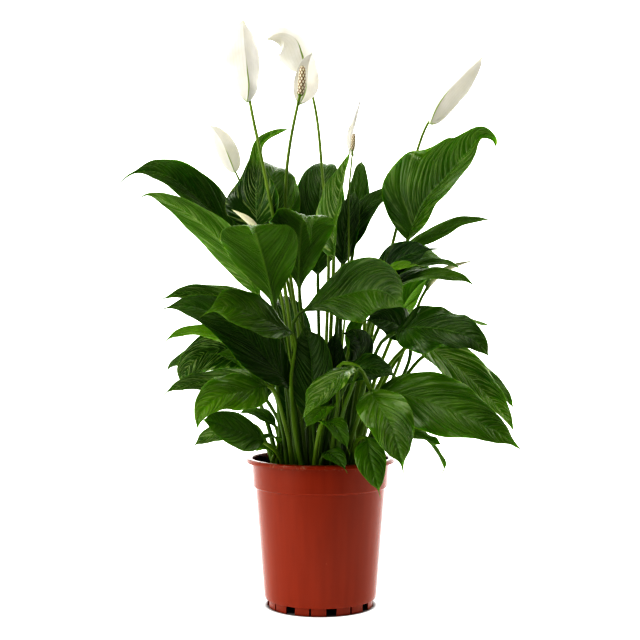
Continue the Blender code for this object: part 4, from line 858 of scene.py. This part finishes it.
# ---------------------------------------------------------------------------------------------------
# Back leaves. The plant's far side, where leaves arch away from the middle as they do on the others,
# with a plantlet, two of whose young leaves hang out over the rim.
grow("leaf_back_1", leaf((-2.4, 4.0), [(-3.0, 6.4, 26), (-3.6, 7.4, 30), (-4.2, 8.8, 33.2),
     (-5.2, 11, 34.8), (-6.4, 13.6, 34.2)], 5.6, (-10, 25), seed=501, tone=0.1))
grow("leaf_back_2", leaf((-0.5, 4.6), [(-1.5, 6.2, 18.4), (-1.5, 7.5, 22.2), (-1.5, 9.4, 26.5),
     (-1.6, 11.6, 30), (-1.4, 14.2, 31.2)], 8.0, (-5, 22), seed=502, tone=0.1))
grow("leaf_back_3", leaf((3.2, 4.6), [(5.5, 9, 22), (8, 13, 24), (11, 16.2, 23), (13.4, 18.2, 20)], 6.2,
     (150, 60), seed=503))
grow("leaf_back_4", leaf((-3.7, 4.2), [(-6.6, 8, 23), (-8.8, 11.5, 25), (-11, 14.5, 24),
     (-12.6, 16.4, 20.5)], 6.0, (-140, 60), seed=504, tone=0.2))
grow("leaf_back_5", leaf((2.8, 3.9), [(6, 8.6, 35), (9, 11.4, 38.6), (12, 13.8, 38.6),
     (14.4, 15.2, 35)], 6.6, (150, 65), seed=505, tone=0.25))
grow("young_shoot_back",
     leaf((0.9, 5.9), [(2, 9.5, 22), (3, 14.4, 22.4), (4.1, 18.3, 19.2), (4.7, 20.1, 14.8)], 5.2,
          (175, 55), seed=506, tone=0.4),
     leaf((1.4, 5.5), [(2.7, 6.1, 20), (3.5, 6.5, 24), (3.9, 7.7, 28), (4.0, 9.6, 32)], 5.2, (0, 20),
          seed=507, tone=0.1),
     leaf((0.4, 5.6), [(-1.8, 8.5, 19), (-2.6, 12.5, 19.8), (-3.4, 15.4, 17), (-3.8, 16.6, 13.2)], 4.6,
          (-170, 55), seed=508, tone=0.5),
     crown(0.9, 5.5, 0.9))

# ---------------------------------------------------------------------------------------------------
# Flowers. Six open flowers, each a round green stalk that ends in a pale, knobbly spadix, with a white
# spathe seated at the spadix's foot, and two buds still rolled up.
FLOWER_SIDES = 28
ROUND = np.arange(FLOWER_SIDES) * 2 * math.pi / FLOWER_SIDES
SPATHE_THICKNESS = 0.0009
SPATHE_STATIONS = 100
SPATHE_VEIN = 0.00012
NUB_ROWS, NUB_CLIMB = 7, 0.0021
SPIKE_ROWS = np.array([0.16, 0.22, 0.5, 0.85, 0.95, 0.985, 1.0])
STEM_RADII = np.array([0.00247, 0.00228, 0.00209, 0.0019, 0.00162, 0.00152, 0.0040, 0.0046, 0.0040, 0.0030,
                       0.0018, 0.0005])
BUD_ROWS = np.array([0.08, 0.22, 0.4, 0.6, 0.8, 0.92, 1.0])
BUD_RADII = [0.0022, 0.0020, 0.0018, 0.0017, 0.0024, 0.0034, 0.0038, 0.0032, 0.0018, 0.0009, 0.0003]


def stem_green_finish():
    """Flower stalk and spadix: green skin with lengthwise streaks that turns cream where spike is 1."""
    finish, tree, shader, place = new_finish("stem_green")

    streak = noise(tree, stretched(tree, place, 0.10), 260.0, 3.0)
    stem = blend(tree, rise(tree, streak, 0.35, 0.65), (0.110, 0.190, 0.010), (0.170, 0.260, 0.022))
    nub = own(tree, "nub")
    grain = noise(tree, place, 900.0, 3.0)
    cream = blend(tree, rise(tree, nub, 0.20, 0.55), (0.16, 0.085, 0.025), (0.74, 0.69, 0.53))
    nub_tip = times(tree, rise(tree, nub, 0.95, 0.99), rise(tree, grain, 0.45, 0.55, 0.0, 0.8))
    cream = blend(tree, nub_tip, cream, (0.26, 0.16, 0.06))
    colour = blend(tree, own(tree, "spike"), stem, cream)
    tree.links.new(colour, shader.inputs["Base Color"])
    shader.inputs["Roughness"].default_value = 0.45
    let_light_in(shader, 0.15, (0.8, 1.0, 0.3), 0.0015)
    press_relief(tree, shader, calc(tree, "ADD", streak, grain), 0.2, 0.0003)
    return finish


def spathe_white_finish():
    """White spathe: soft, slightly translucent, with faint lengthwise veins, its midrib and base green."""
    finish, tree, shader, place = new_finish("spathe_white")

    across = calc(tree, "ABSOLUTE", own(tree, "across"))
    vein = calc(tree, "PINGPONG", own(tree, "vein"), 0.5)
    on_vein = rise(tree, vein, 0.0, 0.12, 1.0, 0.0)
    broad = noise(tree, place, 40.0, 3.0)
    reach = own(tree, "reach")
    white = blend(tree, rise(tree, broad, 0.3, 0.7), (0.62, 0.61, 0.575), (0.70, 0.69, 0.655))
    white = blend(tree, times(tree, on_vein, 0.25), white, (0.52, 0.52, 0.43))
    narrowing = rise(tree, reach, 0.10, 0.62, 0.075, 0.004)
    green_at = rise(tree, calc(tree, "DIVIDE", across, narrowing), 0.55, 1.0, 0.9, 0.0)
    green_at = times(tree, green_at, rise(tree, reach, 0.35, 0.60, 1.0, 0.0))
    white = blend(tree, green_at, white, (0.230, 0.320, 0.060))
    white = blend(tree, rise(tree, reach, 0.0, 0.05, 0.6, 0.0), white, (0.30, 0.45, 0.13))
    white = blend(tree, rise(tree, reach, 0.93, 1.0, 0.0, 0.5), white, (0.42, 0.44, 0.22))
    tree.links.new(white, shader.inputs["Base Color"])
    shader.inputs["Roughness"].default_value = 0.45
    let_light_in(shader, 0.35, (1.0, 0.95, 0.7), 0.0020)
    relief = calc(tree, "SUBTRACT", times(tree, noise(tree, place, 300.0, 3.0), 0.4), on_vein)
    press_relief(tree, shader, relief, 0.30, 0.0006)
    return finish


stem_finish, spathe_finish = stem_green_finish(), spathe_white_finish()


def stations(swell_at, below, above):
    """Shares of a stem's length as a column: some evenly up to where it swells and more from there on."""
    low = np.linspace(0.0, swell_at, below, endpoint=False)
    return np.concatenate([low, np.linspace(swell_at, 1.0, above)])[:, None]


def round_stem(line, share, ring):
    """Rings of a round stem: about the line's point at each share of its length lies a circle, with the
    ring's radius at each bearing. The first ring is sunk a little into the soil."""
    up, side = carried_frames(line, np.array([0.1, -1.0, 0.05]), len(line) // 2)
    at = np.linspace(0.0, 1.0, len(line))
    centre, up, side = [np.stack([np.interp(share[:, 0], at, a[:, k]) for k in range(3)], axis=-1)[:, None]
                        for a in (line, up, side)]
    points = centre + ring[..., None] * (side * np.cos(ROUND)[:, None] + up * np.sin(ROUND)[:, None])
    points[0, :, 2] = STALK_FOOT - SUNK
    return points


def flower_stalk(node, points, spadix, size=1.0):
    """A flower's stalk, in centimetres, that goes on as the spadix's neck and its round-ended spike.

    On the spike the circles carry rows of little domes set on crossing spirals: the radius is
    r (1 + 0.1 (|sin(a) sin(b)|^0.6 - 0.5)), with a and b climbing to the left and to the right.
    """
    stem, spike = np.array(points, float), np.array(spadix, float)
    line, length = grown_line(np.concatenate([stem, spike]))
    neck = grown_line(stem)[1] / length
    rows = [0.0, 0.25, 0.5, 0.75, neck, *(neck + SPIKE_ROWS * (1 - neck))]
    share = stations(neck, 60, 120)
    on_spike = ease(share, neck + 0.20 * (1 - neck), neck + 0.26 * (1 - neck))
    climb = (share - neck) * length / (NUB_CLIMB * size)
    about = NUB_ROWS / 2 * ROUND
    nub = np.abs(np.sin(about + climb) * np.sin(about - climb))
    ring = np.interp(share, rows, STEM_RADII * size) * (1 + 0.10 * on_spike * (nub ** 0.6 - 0.5))
    surface = {"spike": np.broadcast_to(on_spike, nub.shape), "nub": nub}
    finished_piece(node + "_grown", round_stem(line, share, ring), closed_faces(*nub.shape), stem_finish,
                   "stem_green", node, surface)


def spathe(node, blade, width, faces, seed, fold, curl=28, wave=0.10, shape=(0.55, 0.80)):
    """One white spathe: a boat-shaped blade, by the same rings as a leaf's, with a rippled margin."""
    line, length = grown_line(blade)
    frames = carried_frames(line, compass(*faces), int(0.4 * len(line)))
    q = ACROSS[None, :]
    even = np.linspace(0.0, 1.0, SPATHE_STATIONS)[:, None]
    v = np.broadcast_to(even - 0.10 * np.sin(2 * math.pi * even), (SPATHE_STATIONS, q.shape[1]))
    profile = swelling(v, shape) * (1 - 0.55 * ease(v, 0.90, 0.975))
    radius = np.interp(v, (0.0, 1.0), (0.0012, 0.0003))
    half = (radius ** 4 + (width / 2 * CM * profile) ** 4) ** 0.25
    phases = np.random.default_rng(seed).uniform(0, 1, 6)
    right = ripple(v, (1.6, 3.9), phases[0:2], 0.4)
    left = ripple(v, (1.8, 3.4), phases[2:4], 0.4)
    wide = np.abs(q)
    ruffle = wave * CM * wide ** 2.5 * np.where(q > 0, right, left)
    ruffle = ruffle * np.sin(math.pi * np.clip(v, 0, 1)) ** 0.6
    veins = SPATHE_VEIN * np.sin(wide * 30) * ease(wide, 0.05, 0.2) * (1 - ease(wide, 0.8, 1.0))
    points = blade_rings(line, frames, v, v, radius, half, fold, curl, 0, ruffle + veins,
                         SPATHE_THICKNESS, 0.7)[0]
    across = np.broadcast_to(q, v.shape)
    surface = {"across": round_ring(across, across), "vein": round_ring(across * 7, across * 7),
               "reach": round_ring(v, v)}
    finished_piece(node + "_grown", points, closed_faces(*points.shape[:2]), spathe_finish,
                   "spathe_white", node, surface)


def bud(node, points, start):
    """A young flower: its stalk, in centimetres, swells from the given share into a rolled, pointed spathe.

    The roll's outer edge shows as a step in the circle that winds once round the bud as it climbs.
    """
    rest = 1 - start
    rows = [0.0, 0.3, 0.6, start, *(start + BUD_ROWS * rest)]
    line = grown_line(points)[0]
    share = stations(start, 50, 90)
    in_roll = ease(share, start + 0.03 * rest, start + 0.2 * rest)
    in_roll = in_roll * (1 - ease(share, start + 0.9 * rest, 1.0))
    wound = ((ROUND + 5.0 * (share - start) / rest) / (2 * math.pi)) % 1.0
    ring = np.interp(share, rows, BUD_RADII) * (1 + 0.17 * in_roll * (wound - 0.5))
    surface = {"spike": np.broadcast_to(0.75 * in_roll, wound.shape), "nub": 0.6 + 0.0 * wound}
    finished_piece(node + "_grown", round_stem(line, share, ring), closed_faces(*wound.shape), stem_finish,
                   "stem_green", node, surface)


flower_stalk("flower_stalk_1", [(-1.6, 0.0, 15.83), (-3.2, -0.4, 30), (-5.3, -1.4, 44),
             (-6.9, -1.6, 52), (-8.0, -1.4, 57.4)], [(-8.3, -0.3, 59.5), (-8.5, -0.1, 63)])
spathe("spathe_1", [(-8.32, -1.98, 57.2), (-8.1, -2.05, 58.8), (-8.3, -1.8, 61.0), (-8.6, -1.5, 64),
       (-8.8, -0.9, 66.7)], 5.2, (203, 0), seed=601, fold=20, wave=0.25, shape=(0.6, 0.42))
flower_stalk("flower_stalk_2", [(0.3, 1.8, 15.83), (0.7, 2.2, 30), (0.9, 2.8, 42), (0.3, 3, 49),
             (-0.8, 4, 58.5), (-1.8, 4.6, 62.2)], [(-2.6, 5.6, 63.2), (-4.2, 5.6, 64.4)], size=0.9)
spathe("spathe_2", [(-1.75, 4.2, 61.9), (-2.2, 4.1, 64.0), (-2.9, 4, 65.6), (-4.1, 3.9, 66.35),
       (-5.4, 3.8, 66.2), (-6.3, 3.8, 65.5)], 5.6, (201, -12), seed=602, fold=22, wave=0.22,
       shape=(0.42, 0.75))
flower_stalk("flower_stalk_3", [(-1.0, 1.4, 15.83), (-2.4, 2.2, 30), (-4.0, 2, 43), (-3.8, 0.4, 50.5),
             (-2.5, -1, 57.4)], [(-2.2, -1.4, 58.6), (-2.05, -1.7, 61.4)])
spathe("spathe_3", [(-2.4, -0.66, 57.2), (-1.8, 0.1, 58.5), (-1.5, 0.5, 60.2), (-1.35, 0.4, 61.9),
       (-0.9, 0.1, 63.3)], 3.2, (-5, 8), seed=603, fold=8, curl=26)
flower_stalk("flower_stalk_4", [(2.9, 1.4, 15.83), (5.4, 2.4, 30), (8.6, 3.2, 42), (11.0, 3, 51.3),
             (12.5, 2, 55.4)], [(14.1, 2.9, 57.5), (15.6, 3.3, 59.5)], size=0.9)
spathe("spathe_4", [(12.75, 1.48, 55.2), (13.6, 1.15, 57.3), (14.8, 1.1, 59.0), (16.6, 1.1, 60.9),
       (18.9, 1.4, 63.1)], 3.8, (160, -15), seed=604, fold=22, wave=0.15)
flower_stalk("flower_stalk_5", [(-1.8, 2.6, 15.83), (-3.8, 4.4, 28), (-6.6, 5.4, 39), (-9.2, 5, 48),
             (-10.0, 4.6, 50)], [(-10.9, 5.5, 51.2), (-11.8, 5.7, 52.8)], size=0.7)
spathe("spathe_5", [(-10.1, 4.33, 50), (-10.7, 4.25, 51.6), (-11.4, 4.1, 53.2), (-12.1, 4.1, 54.4),
       (-13.1, 4.1, 55.6)], 2.9, (175, 10), seed=605, fold=12)
flower_stalk("flower_stalk_6", [(1.3, 0.9, 15.83), (2.4, 1.4, 28), (3.3, 1.8, 40), (3.3, 1.8, 47),
             (3.7, 1.8, 51.8)], [(3.8, 1.6, 53), (3.9, 1.6, 54.2)], size=0.6)
spathe("spathe_6", [(3.8, 2.07, 51.7), (3.8, 2.8, 54.3), (4.3, 2.8, 56.5), (4.95, 2.4, 59.4)], 1.3,
       (-60, 0), seed=606, fold=35, curl=45, shape=(0.5, 1.5))
bud("bud_1", [(-1.9, -1.6, 15.83), (-3.3, -3, 28), (-4.8, -4.2, 37), (-6.4, -4.4, 41.8),
    (-7.8, -4.3, 43.5), (-9.9, -4, 44.9)], 0.86)
bud("bud_2", [(4.5, 2.8, 15.83), (8.0, 5.4, 24), (10.8, 7, 31), (12.4, 7.4, 35.6), (14.4, 7.4, 38.2),
    (18.4, 7, 39.7)], 0.76)

# ---------------------------------------------------------------------------------------------------
# Stage. A white paper floor that curves up into a round wall, brightest behind the plant and dim before
# it, a soft light box on each side, one overhead and a small one in front, and a level view of the front.
def paper_bowl():
    """A round white floor that curves up into a wall: radius floor + cove sin a, height cove (1 - cos a).

    It glows behind the plant and on the floor round the pot, so that the view is bright to its edges,
    most in a pool at the pot's front left that the pot reflects as its highlight, and it stays dim in
    front, where it would veil the pot's face.
    """
    floor, cove, top, sides = 2.2, 0.9, 4.0, 96
    a = np.linspace(0.0, math.pi / 2, 20)
    r = np.concatenate([[0.001, 1.0, 1.6], floor + cove * np.sin(a), [floor + cove]])[:, None]
    z = np.concatenate([[0.0, 0.0, 0.0], cove * (1 - np.cos(a)), [top]])[:, None]
    bearing = np.arange(sides) * 2 * math.pi / sides
    x, y = r * np.cos(bearing), r * np.sin(bearing)
    points = np.stack([x, y, np.broadcast_to(z, x.shape)], axis=-1)
    mesh = bpy.data.meshes.new("paper_bowl")
    mesh.from_pydata(points.reshape(-1, 3), [], ring_faces(len(r), sides).tolist() + [list(range(sides))])
    mesh.shade_smooth()
    paper, tree, shader, place = new_finish("paper_bowl")
    along = add(tree, "SeparateXYZ", links={0: place}).outputs
    behind = rise(tree, along[1], 0.2, 2.0)
    from_pot = add(tree, "VectorMath", links={0: place}, operation="LENGTH").outputs["Value"]
    on_floor = times(tree, rise(tree, along[2], 0.0, 0.5, 1.0, 0.0), rise(tree, from_pot, 0.060, 0.068))
    on_floor = times(tree, on_floor, rise(tree, along[1], -0.62, -0.14))
    # Painted light: a glowing pool on the floor at the pot's front left, which the pot's side reflects as
    # its highlight.
    bearing = calc(tree, "ARCTAN2", along[0], times(tree, along[1], -1.0))
    glowing_pool_left = rise(tree, calc(tree, "ABSOLUTE", calc(tree, "ADD", bearing, 0.98)), 0.05, 0.80, 1.0, 0.0)
    on_floor = calc(tree, "MAXIMUM", on_floor, times(tree, glowing_pool_left, rise(tree, from_pot, 0.08, 0.2)))
    lit = calc(tree, "MAXIMUM", behind, on_floor)
    tree.links.new(blend(tree, lit, (0.26, 0.26, 0.26), (0.62, 0.62, 0.62)), shader.inputs["Base Color"])
    glow = calc(tree, "MAXIMUM", times(tree, behind, 1.25), times(tree, on_floor, 0.75))
    tree.links.new(glow, shader.inputs["Emission Strength"])
    shader.inputs["Roughness"].default_value = 0.7
    shader.inputs["Specular IOR Level"].default_value = 0.1
    shader.inputs["Emission Color"].default_value = (1.0, 1.0, 1.0, 1.0)
    mesh.materials.append(paper)
    bowl = bpy.data.objects.new("paper_bowl", mesh)
    bpy.context.scene.collection.objects.link(bowl)
    return bowl


paper_bowl()
world = bpy.data.worlds.new("studio")
bpy.context.scene.world = world
world.use_nodes = True
world.node_tree.nodes["Background"].inputs["Color"].default_value = (1.0, 1.0, 1.0, 1.0)
world.node_tree.nodes["Background"].inputs["Strength"].default_value = 0.03


def light_box(name, place, aim, size, power):
    """A soft rectangular light at a place, turned to face a point."""
    lamp = bpy.data.lights.new(name, "AREA")
    lamp.shape = "RECTANGLE"
    lamp.size, lamp.size_y = size
    lamp.energy = power
    lamp.color = (1.0, 0.975, 0.93)
    holder = bpy.data.objects.new(name, lamp)
    holder.location = place
    way = np.array(aim) - np.array(place)
    flat = math.hypot(way[0], way[1])
    holder.rotation_euler = (math.atan2(flat, -way[2]), 0.0, math.atan2(way[1], way[0]) - math.pi / 2)
    holder.visible_camera = False
    bpy.context.scene.collection.objects.link(holder)


light_box("left_box", (-1.25, -0.85, 0.80), (0, 0, 0.3), (0.5, 1.1), 6)
light_box("right_box", (1.45, 0.30, 0.75), (0, 0, 0.3), (0.7, 1.2), 5)
light_box("top_box", (0.15, -0.35, 1.9), (0, 0, 0.3), (0.9, 0.7), 8.5)
light_box("front_box", (-0.45, -1.15, 1.55), (0, 0, 0.45), (0.35, 0.35), 3.2)

view = bpy.data.cameras.new("front_view")
view.lens = 68.68
holder = bpy.data.objects.new("front_view", view)
holder.location = (-0.0004, -1.40, 0.3257)
holder.rotation_euler = (math.pi / 2, 0.0, 0.0)
bpy.context.scene.collection.objects.link(holder)
bpy.context.scene.camera = holder
bpy.context.scene.view_settings.view_transform = "Standard"
bpy.context.scene.view_settings.look = "Very High Contrast"
